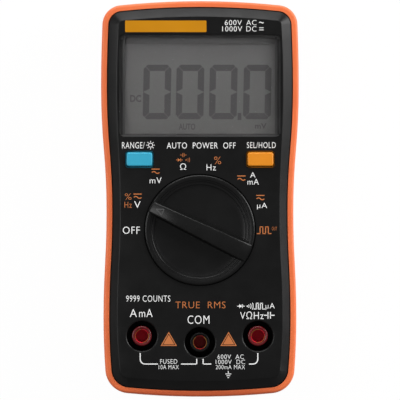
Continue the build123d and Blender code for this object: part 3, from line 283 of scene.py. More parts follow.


# Painted shade: the jacket's colour darkens towards its lower end, standing in for the shade that end lies
# in.
def paintLowerEndShade(finish):
    # deep is the colour of the painted shade, and share is its strength at the lower end
    look = {"reach": (1.2, 2.6), "share": 0.5, "deep": (150, 50, 18)}
    tree = finish.node_tree
    shader = tree.nodes["Principled BSDF"]
    place = addNode(tree, "ShaderNodeTexCoord").outputs["Object"]
    start, end = (cadBounds[0][1] + reach * mm for reach in look["reach"])
    share = spread(tree, splitLength(tree, place), look["share"], 0, start, end)
    plain = shader.inputs["Base Color"].links[0].from_socket
    colourBy(tree, shader, share, plain, tint(*look["deep"]))


finishes = {name: moulded(name, look) for name, look in plasticLooks.items()}
finishes.update({name: metal(name, look) for name, look in metalLooks.items()})
finishes["board"] = boardFinish()
finishes["cell_jacket"] = cellFinish()
finishes["lcd"] = lcdFinish()
finishes["clear_window"] = windowFinish()
# painted shade on the jacket's lower end
paintLowerEndShade(finishes["orange_jacket"])
print("finishes made:", len(finishes))


# CAD parts: smooth curved faces, crisp edges, and the finish that the record names

def dress(part, finish):
    part.data.materials.clear()
    part.data.materials.append(finish)


def smoothShade(part, angle=28):
    for face in part.data.polygons:
        face.use_smooth = True
    weld = part.modifiers.new("weld", "WELD")
    weld.merge_threshold = 1e-6
    split = part.modifiers.new("crisp", "EDGE_SPLIT")
    split.split_angle = math.radians(angle)
    split.use_edge_sharp = False


for entry in frame["record"]["subparts"]:
    dress(parts[entry["node"]], finishes[entry["material_slot"]])
    smoothShade(parts[entry["node"]])
print("CAD parts dressed")


# making new pieces

def bodyOf(node):
    for body, members in frame["record"]["behaviour"]["bodies"].items():
        if node in members:
            return body


# Turns a bmesh into an object at the origin that rides on a body.
def addPiece(shape, name, finish, body, standsFor=(), angle=30):
    bmesh.ops.remove_doubles(shape, verts=shape.verts, dist=1e-7)
    bmesh.ops.recalc_face_normals(shape, faces=shape.faces)
    mesh = bpy.data.meshes.new(name)
    shape.to_mesh(mesh)
    shape.free()
    mesh.materials.append(finish)
    piece = bpy.data.objects.new(name, mesh)
    bpy.context.scene.collection.objects.link(piece)
    smoothShade(piece, angle)
    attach(piece, body)
    if standsFor:
        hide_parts(*standsFor)


def joinInto(whole, extra):
    mesh = bpy.data.meshes.new("joined")
    extra.to_mesh(mesh)
    extra.free()
    whole.from_mesh(mesh)
    bpy.data.meshes.remove(mesh)


def bevelEdges(shape, edges, width, segments=2):
    bmesh.ops.bevel(shape, geom=list(edges), offset=width * mm, offset_type="OFFSET", affect="EDGES",
                    segments=segments, profile=0.5, material=-1, clamp_overlap=True)


def edgesAbove(shape, height):
    return [edge for edge in shape.edges if all(point.co.z > height for point in edge.verts)]


def newPoints(made):
    return [item for item in made["geom"] if isinstance(item, bmesh.types.BMVert)]


# A flat sheet of print: bars, arcs, patches and letters in mm, thickened at the end.
def addBar(sheet, start, end, width):
    start, end = Vector((*start, 0)), Vector((*end, 0))
    run = end - start
    place = (Matrix.Translation((start + end) / 2 * mm)
             @ Matrix.Rotation(math.atan2(run.y, run.x), 4, "Z")
             @ Matrix.Diagonal((run.length * mm, width * mm, 1, 1)))
    bmesh.ops.create_grid(sheet, x_segments=1, y_segments=1, size=0.5, matrix=place)


def addArc(sheet, centre, radius, fromAngle, toAngle, width, steps=8):
    turn = Matrix.Rotation(math.radians(fromAngle), 4, "Z")
    hub = Vector((*centre, 0)) * mm
    ends = [sheet.verts.new(hub + turn @ Vector(((radius + side * width / 2) * mm, 0, 0)))
            for side in (-1, 1)]
    rib = sheet.edges.new(ends)
    bmesh.ops.spin(sheet, geom=[*ends, rib], cent=hub, axis=(0, 0, 1), dvec=(0, 0, 0),
                   angle=math.radians(toAngle - fromAngle), steps=steps,
                   use_merge=False, use_duplicate=False)


def addPatch(sheet, corners):
    sheet.faces.new([sheet.verts.new((x * mm, y * mm, 0)) for x, y in corners])


def addWords(sheet, words, centre, size, bold=0.02, spacing=1.0):
    curve = bpy.data.curves.new("words", "FONT")
    curve.body = words
    curve.offset = bold
    curve.resolution_u = 3
    curve.space_character = spacing
    holder = bpy.data.objects.new("words", curve)
    flat = bpy.data.meshes.new_from_object(holder)
    letters = bmesh.new()
    letters.from_mesh(flat)
    bpy.data.objects.remove(holder)
    bpy.data.meshes.remove(flat)
    low, high = (Vector([pick(point.co[axis] for point in letters.verts) for axis in range(3)])
                 for pick in (min, max))
    bmesh.ops.translate(letters, verts=letters.verts, vec=-(low + high) / 2)
    bmesh.ops.scale(letters, verts=letters.verts, vec=(
        size[0] * mm / (high.x - low.x), size[1] * mm / (high.y - low.y), 1))
    bmesh.ops.translate(letters, verts=letters.verts, vec=(centre[0] * mm, centre[1] * mm, 0))
    joinInto(sheet, letters)


# Lifts the finished sheet to a height and gives it thickness.
def thicken(sheet, bottom, thickness):
    bmesh.ops.remove_doubles(sheet, verts=sheet.verts, dist=1e-6)
    raised = bmesh.ops.extrude_face_region(sheet, geom=sheet.faces[:])
    bmesh.ops.translate(sheet, verts=newPoints(raised), vec=(0, 0, thickness * mm))
    bmesh.ops.translate(sheet, verts=sheet.verts, vec=(0, 0, bottom))


# A turned shape from a profile of (radius, height) in mm, round an upright axis.
def addTurned(shape, profile, centre, steps):
    points = [shape.verts.new((centre.x + radius * mm, centre.y, height * mm))
              for radius, height in profile]
    edges = [shape.edges.new(pair) for pair in zip(points, points[1:])]
    bmesh.ops.spin(shape, geom=points + edges, cent=(centre.x, centre.y, 0), axis=(0, 0, 1),
                   dvec=(0, 0, 0), angle=math.tau, steps=steps, use_merge=True, use_duplicate=False)
    bmesh.ops.remove_doubles(shape, verts=shape.verts, dist=1e-7)


# symbols of the face print: each takes a centre, a size and a line width in mm

def addSquareWave(sheet, centre, size, line):
    width, height = size
    step = width / 5
    left, low, high = centre[0] - width / 2, centre[1] - height / 2, centre[1] + height / 2
    for index in range(5):
        level = high if index % 2 else low
        start, end = left + index * step, left + (index + 1) * step
        addBar(sheet, (start - line / 2, level), (end + line / 2, level), line)
        if index < 4:
            addBar(sheet, (end, low), (end, high), line)


def addDiode(sheet, centre, size, line):
    look = {"tip": 0.6, "plate": 0.7}
    x, y = centre
    half = size / 2
    plate = x + half * look["plate"]
    addBar(sheet, (x - size, y), (x - half, y), line)
    addPatch(sheet, [(x - half, y - half), (x + half * look["tip"], y), (x - half, y + half)])
    addBar(sheet, (plate, y - half), (plate, y + half), line)
    addBar(sheet, (plate, y), (x + size, y), line)


# A speaker dot with three sound arcs.
def addBeep(sheet, centre, size, line):
    look = {"dot": (-0.95, -0.65), "hub": -1.3, "radius": 0.95, "spacing": 0.55, "span": 26}
    x, y = centre
    left, right = (x + size * edge for edge in look["dot"])
    addPatch(sheet, [(left, y - line), (right, y - line), (right, y + line), (left, y + line)])
    for step in range(3):
        radius = size * (look["radius"] + look["spacing"] * step)
        addArc(sheet, (x + size * look["hub"], y), radius, -look["span"], look["span"], line, 6)


def addCapacitor(sheet, centre, size, line):
    look = {"plate": 0.18, "lead": 0.8}
    x, y = centre
    for side in (-1, 1):
        plate = x + side * size * look["plate"]
        addBar(sheet, (plate, y - size / 2), (plate, y + size / 2), line)
        addBar(sheet, (plate, y), (x + side * size * look["lead"], y), line)


# A straight bar over one wave, for direct and alternating current.
def addMains(sheet, centre, size, line):
    look = {"bar": 0.75, "wave": -0.35, "radius": 0.78, "from": 38}
    x, y = centre
    wave, radius, start = y + look["wave"], look["radius"], look["from"]
    addBar(sheet, (x - size / 2, y + look["bar"]), (x + size / 2, y + look["bar"]), line)
    reach = radius * math.cos(math.radians(start))
    drop = radius * math.sin(math.radians(start))
    addArc(sheet, (x - reach, wave - drop), radius, start, 180 - start, line)
    addArc(sheet, (x + reach, wave + drop), radius, 180 + start, 360 - start, line)


def addSun(sheet, centre, size, line):
    look = {"disc": 0.24, "rayStart": 0.34, "rayEnd": 0.5, "rays": 8}
    addArc(sheet, centre, size * look["disc"], 0, 360, line, 20)
    for step in range(look["rays"]):
        turn = math.tau * step / look["rays"]
        ray = Vector((math.cos(turn), math.sin(turn))) * size
        start, end = (Vector(centre) + ray * look[reach] for reach in ("rayStart", "rayEnd"))
        addBar(sheet, start, end, line)


def addGround(sheet, centre, size, line):
    look = {"bars": (1.0, 0.62, 0.26), "spacing": 0.32}
    x, y = centre
    addBar(sheet, (x, y + size / 2), (x, y), line)
    for step, share in enumerate(look["bars"]):
        level, half = y - step * size * look["spacing"], size / 2 * share
        addBar(sheet, (x - half, level), (x + half, level), line)


# A plain pointer: a solid triangle inside a thin triangular line.
def addArrowhead(sheet, centre, size, line):
    look = {"solid": 2.1, "drop": 0.1}
    hub = Vector(centre) - Vector((0, look["drop"]))
    turns = [math.radians(turn) for turn in (90, 210, 330)]
    corners = [Vector((math.cos(turn), math.sin(turn))) for turn in turns]
    addPatch(sheet, [hub + corner * look["solid"] for corner in corners])
    inside = size - 2 * line
    for first, second in zip(corners, corners[1:] + corners[:1]):
        addPatch(sheet, [hub + first * size, hub + second * size,
                         hub + second * inside, hub + first * inside])


# printed legends on the face

legendLook = {
    "thickness": 0.02,
    "sink": 0.01,
    "bold": -0.007,
    "smallBold": -0.01,
    "smallHeight": 1.8,
    "spacing": 1.1,
    "line": 0.33,
}
inkLooks = {
    "whitePrint": {"colour": (240, 240, 239), "deep": (231, 231, 230)},
    "orangePrint": {"colour": (188, 113, 64), "deep": (178, 103, 56)},
}
inkBase = {"rough": 0.5, "grain": 0.15, "depth": 0.002, "cloud": 6, "shine": 0.25}

# text, part it is placed from, offset from that part's middle and size in mm
whiteWords = [
    ("RANGE/", "range_key", (-2.01, 4.6), (7.4, 2.1)),
    ("AUTO  POWER  OFF", "display_window", (0.43, -19.57), (22.6, 2.0)),
    ("SEL/HOLD", "select_key", (0.31, 4.66), (9.46, 1.95)),
    ("mV", "selector_knob", (-14.53, 16.27), (3.9, 1.95)),
    ("\u03a9", "selector_knob", (-5.52, 20.82), (1.97, 2.07)),
    ("Hz", "selector_knob", (3.73, 20.54), (3.1, 1.95)),
    ("A", "selector_knob", (17.38, 18.08), (1.75, 1.75)),
    ("mA", "selector_knob", (17.48, 15.83), (3.7, 1.9)),
    ("V", "selector_knob", (-20.52, 8.33), (2.1, 2.2)),
    ("OFF", "selector_knob", (-22.52, -0.08), (5.58, 2.4)),
    ("\u00b5A", "selector_knob", (20.42, 7.85), (3.3, 2.1)),
    ("9999 COUNTS", "selector_knob", (-16.96, -22.53), (14.5, 2.05)),
    ("A", "amp_jack_sleeve", (-2.8, 7.54), (2.3, 2.6)),
    ("mA", "amp_jack_sleeve", (1.3, 7.54), (4.4, 2.6)),
    ("COM", "com_jack_sleeve", (-0.48, 7.46), (7.19, 2.75)),
    ("V\u03a9Hz", "volt_jack_sleeve", (-2.0, 6.8), (7.7, 2.5)),
    ("\u00b5A", "volt_jack_sleeve", (4.0, 9.7), (3.0, 2.2)),
    ("600V", "display_window", (10.95, 20.78), (5.6, 1.7)),
    ("AC", "display_window", (16.9, 20.78), (3.3, 1.7)),
    ("~", "display_window", (20.2, 20.78), (1.5, 0.6)),
    ("1000V", "display_window", (10.6, 18.72), (6.5, 1.7)),
    ("DC", "display_window", (16.9, 18.72), (3.3, 1.7)),
    ("=", "display_window", (20.2, 18.72), (1.5, 0.9)),
    ("FUSED", "com_jack_sleeve", (-10.23, -6.27), (5.6, 1.5)),
    ("600V  AC", "com_jack_sleeve", (10.1, -4.7), (8.6, 1.45)),
    ("1000V  DC", "com_jack_sleeve", (10.0, -6.4), (9.6, 1.45)),
    ("10A MAX", "com_jack_sleeve", (-10.23, -8.1), (6.6, 1.4)),
    ("200mA MAX", "com_jack_sleeve", (10.0, -8.1), (9.6, 1.4)),
]
orangeWords = [
    ("%", "selector_knob", (5.81, 22.84), (2.3, 2.5)),
    ("%", "selector_knob", (-23.56, 10.97), (2.2, 2.07)),
    ("Hz", "selector_knob", (-23.56, 8.28), (2.4, 1.95)),
    ("OUT", "selector_knob", (24.45, 0.45), (1.7, 1.15)),
    ("TRUE  RMS", "selector_knob", (0.18, -24.6), (16.45, 2.2)),
]
# symbol, part it is placed from, offset, size and line width in mm
whiteSymbols = [
    (addSun, "range_key", (3.65, 4.65), 2.8, 0.2),
    (addCapacitor, "volt_jack_sleeve", (3.7, 6.8), 2.2, 0.3),
    (addDiode, "volt_jack_sleeve", (-5.55, 9.8), 1.2, 0.24),
    (addBeep, "volt_jack_sleeve", (-2.5, 9.8), 1.25, 0.22),
    (addSquareWave, "volt_jack_sleeve", (0.45, 9.8), (3.4, 1.9), 0.26),
    (addGround, "com_jack_sleeve", (9.32, -10.35), 1.9, 0.22),
]
orangeSymbols = [
    (addSquareWave, "selector_knob", (21.1, -0.08), (4.5, 2.2), 0.3),
    (addDiode, "selector_knob", (-6.7, 23.0), 1.1, 0.16),
    (addBeep, "selector_knob", (-4.0, 23.0), 0.85, 0.12),
    (addCapacitor, "selector_knob", (-5.45, 24.6), 1.3, 0.15),
    (addMains, "selector_knob", (-14.54, 19.23), 2.7, 0.31),
    (addMains, "selector_knob", (13.61, 16.98), 2.7, 0.31),
    (addMains, "selector_knob", (-20.45, 11.05), 2.7, 0.31),
    (addMains, "selector_knob", (19.85, 10.59), 2.7, 0.31),
    (addArrowhead, "com_jack_sleeve", (-10.21, 0.5), 3.1, 0.3),
    (addArrowhead, "com_jack_sleeve", (9.42, 0.5), 3.1, 0.3),
]


def near(part, offset):
    centre = middle(part) / mm
    return (centre.x + offset[0], centre.y + offset[1])


# Lines that join the sockets to their ratings, with a rounded lower corner.
def addBrackets(sheet, line):
    look = {"left": -19.6, "right": 19.0, "drop": -5.6, "low": -9.2, "round": 1.6, "inner": 1.05,
            "tick": 1.7, "leftGap": (-13.8, -6.2), "rightGap": (16.1, 3.7)}
    level = middle("amp_jack_sleeve").y / mm
    top, low, corner, inner = level + look["drop"], level + look["low"], look["round"], look["inner"]
    for side, x, gap, turn in ((1, look["left"], look["leftGap"], 180),
                               (-1, look["right"], look["rightGap"], 270)):
        addBar(sheet, (x, top), (x, low + corner), line)
        addArc(sheet, (x + side * corner, low + corner), corner, turn, turn + 90, line)
        addBar(sheet, (x + side * corner, low), (gap[0], low), line)
        addBar(sheet, (gap[1], low), (-side * (inner + line / 2), low), line)
        addBar(sheet, (-side * inner, low), (-side * inner, low + look["tick"]), line)


def printLegends():
    white, orange = bmesh.new(), bmesh.new()
    for sheet, wordList, symbols, bold in (
            (white, whiteWords, whiteSymbols, legendLook["bold"]),
            (orange, orangeWords, orangeSymbols, legendLook["smallBold"])):
        for words, part, offset, size in wordList:
            weight = bold if size[1] > legendLook["smallHeight"] else legendLook["smallBold"]
            addWords(sheet, words, near(part, offset), size, weight, legendLook["spacing"])
        for addSymbol, part, offset, size, line in symbols:
            addSymbol(sheet, near(part, offset), size, line)
    addBrackets(white, legendLook["line"])
    for sheet, name, slot in ((white, "whitePrint", "white_plastic"), (orange, "orangePrint", "orange_key")):
        thicken(sheet, faceTop - legendLook["sink"] * mm, legendLook["thickness"])
        addPiece(sheet, name, moulded(name, {**inkBase, **inkLooks[name]}), "case")


printLegends()
print("legends printed")


# display: digits, top band (partly painted shade), print under the pane's edge, and the clear pane

digitLook = {"width": 9.1, "height": 17.9, "stroke": 2.05, "cut": 1.3, "gap": 0.1, "notch": 1.0,
             "lean": 0.02}
inkLook = {"thickness": 0.03, "sink": 0.01, "digitsAt": (-14.08, -3.25, 7.68, 18.86), "digitsDown": -1.97,
           "pointFrom": (12.4, -10.0), "pointTo": (13.6, -10.0), "pointHeight": 2.3}
inkFinish = {"colour": (52, 52, 52), "deep": (50, 50, 50), "rough": 0.6, "grain": 0.12, "depth": 0.002,
             "shine": 0.2}
# text, offset from the glass's middle and size in mm
displayWords = [
    ("DC", (-21.1, -4.11), (3.6, 2.3)),
    ("AUTO", (-4.24, -13.36), (5.45, 2.05)),
    ("mV", (20.0, -13.1), (3.8, 1.8)),
]


# A seven-segment nought: two segments on each side of the upper half, copied to the lower half.
def addNought(sheet, place):
    half, right = digitLook["height"] / 2, digitLook["width"] / 2
    stroke, cut, gap = digitLook["stroke"], digitLook["cut"], digitLook["gap"]
    digit = bmesh.new()
    for side in (-1, 1):
        joint = (side * (right - cut / 2), half - cut / 2)
        inside = (side * (right - stroke), half - stroke)
        addPatch(digit, [(0, half), (side * (right - cut), half), (joint[0] - side * gap, joint[1]),
                         (inside[0] - side * gap, inside[1]), (0, half - stroke)])
        addPatch(digit, [(joint[0], joint[1] - gap), (side * right, half - cut), (side * right, gap / 2),
                         (inside[0], gap / 2 + digitLook["notch"]), (inside[0], inside[1] - gap)])
    lower = bmesh.ops.duplicate(digit, geom=digit.verts[:] + digit.edges[:] + digit.faces[:])
    bmesh.ops.scale(digit, verts=newPoints(lower), vec=(1, -1, 1))
    leaning = Matrix(((1, digitLook["lean"], 0, 0), (0, 1, 0, 0), (0, 0, 1, 0), (0, 0, 0, 1)))
    bmesh.ops.transform(digit, matrix=leaning, verts=digit.verts)
    bmesh.ops.translate(digit, verts=digit.verts, vec=(place[0] * mm, place[1] * mm, 0))
    joinInto(sheet, digit)


def buildDigits():
    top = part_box("lcd_glass")[1][2]
    ink = bmesh.new()
    for across in inkLook["digitsAt"]:
        addNought(ink, near("lcd_glass", (across, inkLook["digitsDown"])))
    start, end = (near("lcd_glass", inkLook[name]) for name in ("pointFrom", "pointTo"))
    addBar(ink, start, end, inkLook["pointHeight"])
    for words, offset, size in displayWords:
        addWords(ink, words, near("lcd_glass", offset), size)
    thicken(ink, top - inkLook["sink"] * mm, inkLook["thickness"])
    addPiece(ink, "lcdInk", moulded("lcdInk", inkFinish), "case")


# A grey band across the top of the glass: partly the display's grey top border, partly painted shade where
# the window's upper edge shades the glass.
def buildDisplayBandAndShade():
    look = {"width": 49.4, "from": 13.75, "to": 16.1, "thickness": 0.25, "edge": 0.08,
            "finish": {"colour": (64, 64, 64), "deep": (61, 61, 61), "rough": 0.55, "grain": 0.2,
                       "depth": 0.004, "shine": 0.3}}
    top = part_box("lcd_glass")[1][2]
    height = (look["from"] + look["to"]) / 2
    start, end = (near("display_window", (side * look["width"] / 2, height)) for side in (-1, 1))
    band = bmesh.new()
    addBar(band, start, end, look["to"] - look["from"])
    thicken(band, top, look["thickness"])
    bevelEdges(band, edgesAbove(band, top + 1e-5), look["edge"])
    addPiece(band, "displayBand", moulded("bandFinish", look["finish"]), "case")


# A black margin, and a grey line round the opening.
def buildWindowPrint():
    look = {"across": 24.6, "down": 16.05, "up": 16.3, "line": 0.65, "foot": 0.35, "head": 0.55,
            "margin": 0.85, "marginDrop": 1, "thickness": 0.03, "lift": 0.02}
    ink = {"rough": 0.5, "grain": 0.15, "depth": 0.002, "shine": 0.3}
    shades = {"windowLine": {"colour": (40, 40, 40), "deep": (37, 37, 37)},
              "windowMargin": {"colour": (15, 15, 15), "deep": (13, 13, 13)}}
    across, line, margin = look["across"], look["line"], look["margin"]
    x, foot = near("display_window", (0, -look["down"]))
    head = near("display_window", (0, look["up"]))[1]
    grey, black = bmesh.new(), bmesh.new()
    for side in (-1, 1):
        inner, outer = x + side * (across + line / 2), x + side * (across + line + margin / 2)
        addBar(grey, (inner, foot), (inner, head), line)
        addBar(black, (outer, foot), (outer, head - look["marginDrop"]), margin)
    sill = foot + look["foot"] / 2
    addBar(grey, (x - across, sill), (x + across, sill), look["foot"])
    addBar(grey, (x - across, head), (x + across, head), look["head"])
    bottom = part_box("display_window")[0][2] + look["lift"] * mm
    for sheet, name in ((grey, "windowLine"), (black, "windowMargin")):
        thicken(sheet, bottom, look["thickness"])
        addPiece(sheet, name, moulded(name, {**ink, **shades[name]}), "case")


def buildPane():
    look = {"corner": 1.6, "cornerSteps": 6, "chamfer": 0.1, "crispAngle": 10}
    low, high = (Vector(corner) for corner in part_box("display_window"))
    pane = bmesh.new()
    place = Matrix.Translation((low + high) / 2) @ Matrix.Diagonal((*(high - low), 1))
    bmesh.ops.create_cube(pane, size=1, matrix=place)
    uprights = [edge for edge in pane.edges if abs(edge.verts[0].co.z - edge.verts[1].co.z) > 1e-5]
    bevelEdges(pane, uprights, look["corner"], look["cornerSteps"])
    bevelEdges(pane, edgesAbove(pane, high.z - 1e-6), look["chamfer"])
    addPiece(pane, "displayPane", finishes["clear_window"], "case",
             ["display_window"], look["crispAngle"])


buildDigits()
buildDisplayBandAndShade()
buildWindowPrint()
buildPane()
print("display built")


# keys: the CAD shape with a rounded top edge, and a little room round the cap in its hole

def buildKey(node, slot, name):
    look = {"round": 0.35, "steps": 3, "gap": (0.18, 0.26), "flangeDepth": 2}
    key = bmesh.new()
    key.from_mesh(parts[node].data)
    bmesh.ops.remove_doubles(key, verts=key.verts, dist=1e-6)
    bmesh.ops.dissolve_limit(key, angle_limit=math.radians(1), verts=key.verts[:], edges=key.edges[:])
    bevelEdges(key, edgesAbove(key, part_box(node)[1][2] - 1e-6), look["round"], look["steps"])
    centre, capFrom = middle(node), faceTop - look["flangeDepth"] * mm
    for point in key.verts:
        if point.co.z > capFrom:
            point.co.x -= math.copysign(look["gap"][0] * mm, point.co.x - centre.x)
            point.co.y -= math.copysign(look["gap"][1] * mm, point.co.y - centre.y)
    addPiece(key, name, finishes[slot], bodyOf(node), [node])


buildKey("range_key", "blue_key", "rangeKeyCap")
buildKey("select_key", "orange_key", "selectKeyCap")
print("keys built")


# selector dial: rimmed dish with two fine steps and an arched finger bar

dialLook = {
    "profile": [(0, 26.4), (1.25, 26.4), (1.25, 23.3), (6.0, 23.3), (6.0, 25.5), (18.1, 25.5), (18.1, 28.35),
                (18.02, 28.62), (17.85, 28.8), (17.6, 28.88), (17.1, 28.86), (16.55, 28.72), (16.42, 28.5),
                (15.95, 28.42), (15.8, 28.22), (15.68, 28.18), (15.0, 28.1), (14.86, 27.76), (14.5, 27.66),
                (13.4, 27.56), (0, 27.5)],
    "turnSteps": 96,
    "pointer": 154.3,  # degrees from the right, where the bar's pointer end lies at rest
    "reach": 17.9,
    "pointerWidth": 4.3,
    "tailWidth": 6.5,
    "base": 27.3,
    "crown": 31.9,
    "end": 29.35,
    "arch": 3.0,
    "draft": 0.35,
    "edge": 0.4,
    "barSteps": 28,
    "ridgeAbove": 28.5,
    "crispAngle": 35,
}


# Height of the bar's top in mm, at a share of its reach from the middle.
def barTop(share):
    return dialLook["crown"] - (dialLook["crown"] - dialLook["end"]) * abs(share) ** dialLook["arch"]


# Moves a shape made along +X at the origin to the dial, along its pointer.
def turnToPointer(shape):
    centre = middle("selector_knob")
    bmesh.ops.transform(shape, verts=shape.verts, matrix=Matrix.Translation((centre.x, centre.y, 0))
                        @ Matrix.Rotation(math.radians(dialLook["pointer"]), 4, "Z"))


def addFingerBar(dial):
    mean = (dialLook["pointerWidth"] + dialLook["tailWidth"]) / 4
    taper = (dialLook["pointerWidth"] - dialLook["tailWidth"]) / 4
    bar = bmesh.new()
    bmesh.ops.create_cube(bar, size=2)
    along = [edge for edge in bar.edges if abs(edge.verts[0].co.x - edge.verts[1].co.x) > 1]
    bmesh.ops.subdivide_edges(bar, edges=along, cuts=dialLook["barSteps"] - 1)
    for point in bar.verts:
        share, side, onTop = point.co.x, point.co.y, point.co.z > 0
        draft = -dialLook["draft"] if onTop else dialLook["draft"]
        y = side * (mean + taper * share + draft)
        x = share * math.sqrt(dialLook["reach"] ** 2 - y * y)
        point.co = Vector((x, y, barTop(share) if onTop else dialLook["base"])) * mm
    bar.normal_update()
    ridge = [edge for edge in edgesAbove(bar, dialLook["ridgeAbove"] * mm)
             if len([face for face in edge.link_faces if face.normal.z > 0.5]) == 1]
    bevelEdges(bar, ridge, dialLook["edge"], 3)
    turnToPointer(bar)
    joinInto(dial, bar)


def buildDial():
    dial = bmesh.new()
    addTurned(dial, dialLook["profile"], middle("selector_knob"), dialLook["turnSteps"])
    addFingerBar(dial)
    addPiece(dial, "selectorDial", finishes["black_knob"], "selector",
             ["selector_knob"], dialLook["crispAngle"])


# A small raised triangle at the pointer end, lying on the bar's slope.
def buildPointerMark():
    look = {"radius": 14.7, "length": 2.4, "width": 2.0, "line": 0.32, "thickness": 0.24, "sunk": 0.18,
            "finish": {"colour": (50, 50, 50), "deep": (44, 44, 44), "rough": 0.4, "grain": 0.2,
                       "depth": 0.002}}
    mark = bmesh.new()
    half, reach = look["width"] / 2, look["length"] / 2
    back, front = look["radius"] - reach, look["radius"] + reach
    corners = [(back, half), (front, 0), (back, -half)]
    for start, end in zip(corners, corners[1:] + corners[:1]):
        addBar(mark, start, end, look["line"])
    thicken(mark, 0, look["thickness"])
    for point in mark.verts:
        point.co.z += (barTop(point.co.x / mm / dialLook["reach"]) - look["sunk"]) * mm
    turnToPointer(mark)
    addPiece(mark, "pointerMark", moulded("markGrey", look["finish"]), "selector")


buildDial()
buildPointerMark()
print("dial built")


# sockets: a rounded sleeve over each contact, spring edges at its mouth, and a liner in its bore

socketLooks = {
    "amp": {"slot": "red_sleeve", "liner": (225, 22, 48), "turn": 150},
    "com": {"slot": "black_sleeve", "liner": (150, 22, 20), "turn": 180},
    "volt": {"slot": "red_sleeve", "liner": (225, 22, 48), "turn": -50},
}


def buildSleeve(name, slot):
    look = {"profile": [(3.3, 9.0), (3.3, 26.75), (3.24, 27.0), (3.1, 27.15), (2.95, 27.2), (2.75, 27.2),
                        (2.5, 27.1), (2.35, 26.9), (2.3, 26.6), (2.3, 26.25), (2.65, 26.2), (2.65, 9.0),
                        (3.3, 9.0)],
            "steps": 48}
    node = name + "_jack_sleeve"
    sleeve = bmesh.new()
    addTurned(sleeve, look["profile"], middle(node), look["steps"])
    addPiece(sleeve, name + "SocketSleeve", finishes[slot], "case", [node])


# Brass outside, and the liner's colour on the inside of the bore.
def lineContact(name, liner):
    look = {"wall": 2.3, "blur": 0.03, "patch": 1.0, "rough": (0.29, 0.43)}
    centre = middle(name + "_jack_sleeve")
    finish, tree, shader, place = startFinish(name + "Contact")
    moved = addNode(tree, "ShaderNodeMapping", sockets={
        "Location": (-centre.x, -centre.y, 0), "Scale": (1, 1, 0)})
    tree.links.new(place, moved.inputs["Vector"])
    reach = addNode(tree, "ShaderNodeVectorMath", {"operation": "LENGTH"})
    tree.links.new(moved.outputs["Vector"], reach.inputs[0])
    inner, outer = ((look["wall"] + side * look["blur"]) * mm for side in (-1, 1))
    isBrass = spread(tree, reach.outputs["Value"], 0, 1, inner, outer)
    colourBy(tree, shader, isBrass, tint(*liner), stained(tree, place, metalLooks["brass"]))
    tree.links.new(isBrass, shader.inputs["Metallic"])
    roughenBy(tree, shader, addGrain(tree, place, look["patch"]), *look["rough"])
    dress(parts[name + "_jack_contact"], finish)


# Two thin brass spring edges, opposite each other.
def buildSpringEdges(name, turn):
    look = {"radius": 2.2, "width": 0.16, "span": 105, "depth": 1.6, "top": 26.45, "steps": 14}
    edges = bmesh.new()
    centre = near(name + "_jack_sleeve", (0, 0))
    half = look["span"] / 2
    for start in (turn, turn + 180):
        addArc(edges, centre, look["radius"], start - half, start + half, look["width"], look["steps"])
    thicken(edges, (look["top"] - look["depth"]) * mm, look["depth"])
    addPiece(edges, name + "SpringEdges", finishes["brass"], "case")


for name, look in socketLooks.items():
    buildSleeve(name, look["slot"])
    lineContact(name, look["liner"])
    buildSpringEdges(name, look["turn"])
print("sockets built")


# stage: pale floor, soft lamps, white world and camera

# Camera, glossy and transmission rays see the floor this much as plain white.
def addWhiteView(tree, share):
    path = addNode(tree, "ShaderNodeLightPath")
    either = addNode(tree, "ShaderNodeMath", {"operation": "MAXIMUM"})
    every = addNode(tree, "ShaderNodeMath", {"operation": "MAXIMUM"})
    scaled = addNode(tree, "ShaderNodeMath", {"operation": "MULTIPLY"})
    scaled.inputs[1].default_value = share
    tree.links.new(path.outputs["Is Camera Ray"], either.inputs[0])
    tree.links.new(path.outputs["Is Glossy Ray"], either.inputs[1])
    tree.links.new(either.outputs[0], every.inputs[0])
    tree.links.new(path.outputs["Is Transmission Ray"], every.inputs[1])
    tree.links.new(every.outputs[0], scaled.inputs[0])
    return scaled.outputs[0]


def buildFloor():
    look = {"size": 6.0, "drop": 0.2, "colour": (244, 244, 244), "rough": 0.9, "shine": 0.1,
            "whiteness": 0.97}
    shape = bmesh.new()
    bmesh.ops.create_grid(shape, x_segments=1, y_segments=1, size=look["size"] / 2)
    bmesh.ops.translate(shape, verts=shape.verts, vec=(0, 0, cadBounds[0][2] - look["drop"] * mm))
    mesh = bpy.data.meshes.new("floor")
    shape.to_mesh(mesh)
    shape.free()
    floor = bpy.data.objects.new("floor", mesh)
    bpy.context.scene.collection.objects.link(floor)
    finish, tree, shader, place = startFinish("floor")
    shader.inputs["Base Color"].default_value = tint(*look["colour"])
    shader.inputs["Roughness"].default_value = look["rough"]
    shader.inputs["Specular IOR Level"].default_value = look["shine"]
    whiteLight = addNode(tree, "ShaderNodeEmission")
    mixShaders(tree, addWhiteView(tree, look["whiteness"]), shader.outputs["BSDF"],
               whiteLight.outputs["Emission"])
    mesh.materials.append(finish)


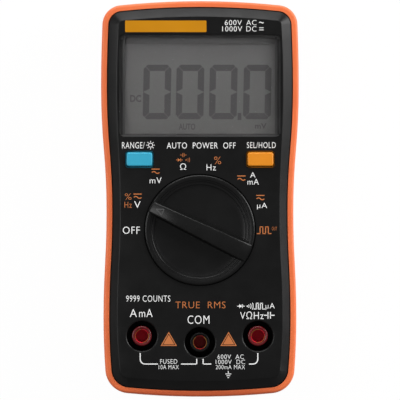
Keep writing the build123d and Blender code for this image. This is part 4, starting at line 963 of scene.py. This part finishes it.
def buildWorld():
    look = {"strength": 0.22, "colour": (1, 1, 1, 1)}
    world = bpy.data.worlds.new("studio")
    bpy.context.scene.world = world
    world.use_nodes = True
    tree = world.node_tree
    soft = tree.nodes["Background"]
    soft.inputs["Color"].default_value = look["colour"]
    soft.inputs["Strength"].default_value = look["strength"]
    white = addNode(tree, "ShaderNodeBackground")
    path = addNode(tree, "ShaderNodeLightPath")
    mixShaders(tree, path.outputs["Is Camera Ray"], soft.outputs["Background"],
               white.outputs["Background"], "World Output")


# Places and sizes in metres, power in watts. The over lamp lights the bores and mirrors in nothing.
lamps = {
    "topLamp": {"at": (-0.1, 1.15, 0.6), "size": (1.2, 0.6), "power": 13, "mirrored": True},
    "rightLamp": {"at": (1.12, 0.45, 0.48), "size": (0.7, 0.9), "power": 17, "mirrored": True},
    "leftLamp": {"at": (-0.85, 0.15, 0.9), "size": (0.5, 0.9), "power": 5.5, "mirrored": True},
    "overLamp": {"at": (0.02, -0.05, 1.9), "size": (0.12, 0.12), "power": 2.6, "mirrored": False},
}
lampTarget = (0, 0, 0.015)


def buildLamps():
    for name, look in lamps.items():
        light = bpy.data.lights.new(name, "AREA")
        light.shape = "RECTANGLE"
        light.size, light.size_y = look["size"]
        light.energy = look["power"]
        lamp = bpy.data.objects.new(name, light)
        lamp.visible_glossy = look["mirrored"]
        lamp.visible_transmission = look["mirrored"]
        lamp.location = look["at"]
        lamp.rotation_euler = (Vector(lampTarget) - lamp.location).to_track_quat("-Z", "Y").to_euler()
        bpy.context.scene.collection.objects.link(lamp)


def buildCamera():
    look = {"distance": 2.5, "frame": 0.1313, "middle": (0.00003, -0.00036), "sensor": 36, "farthest": 20}
    data = bpy.data.cameras.new("camera")
    data.sensor_width = look["sensor"]
    data.lens = look["sensor"] * look["distance"] / look["frame"]
    data.clip_end = look["farthest"]
    camera = bpy.data.objects.new("camera", data)
    camera.location = (*look["middle"], faceTop + look["distance"])
    bpy.context.scene.collection.objects.link(camera)
    bpy.context.scene.camera = camera


buildFloor()
buildWorld()
buildLamps()
buildCamera()
bpy.context.scene.view_settings.view_transform = "Standard"
print("stage built")
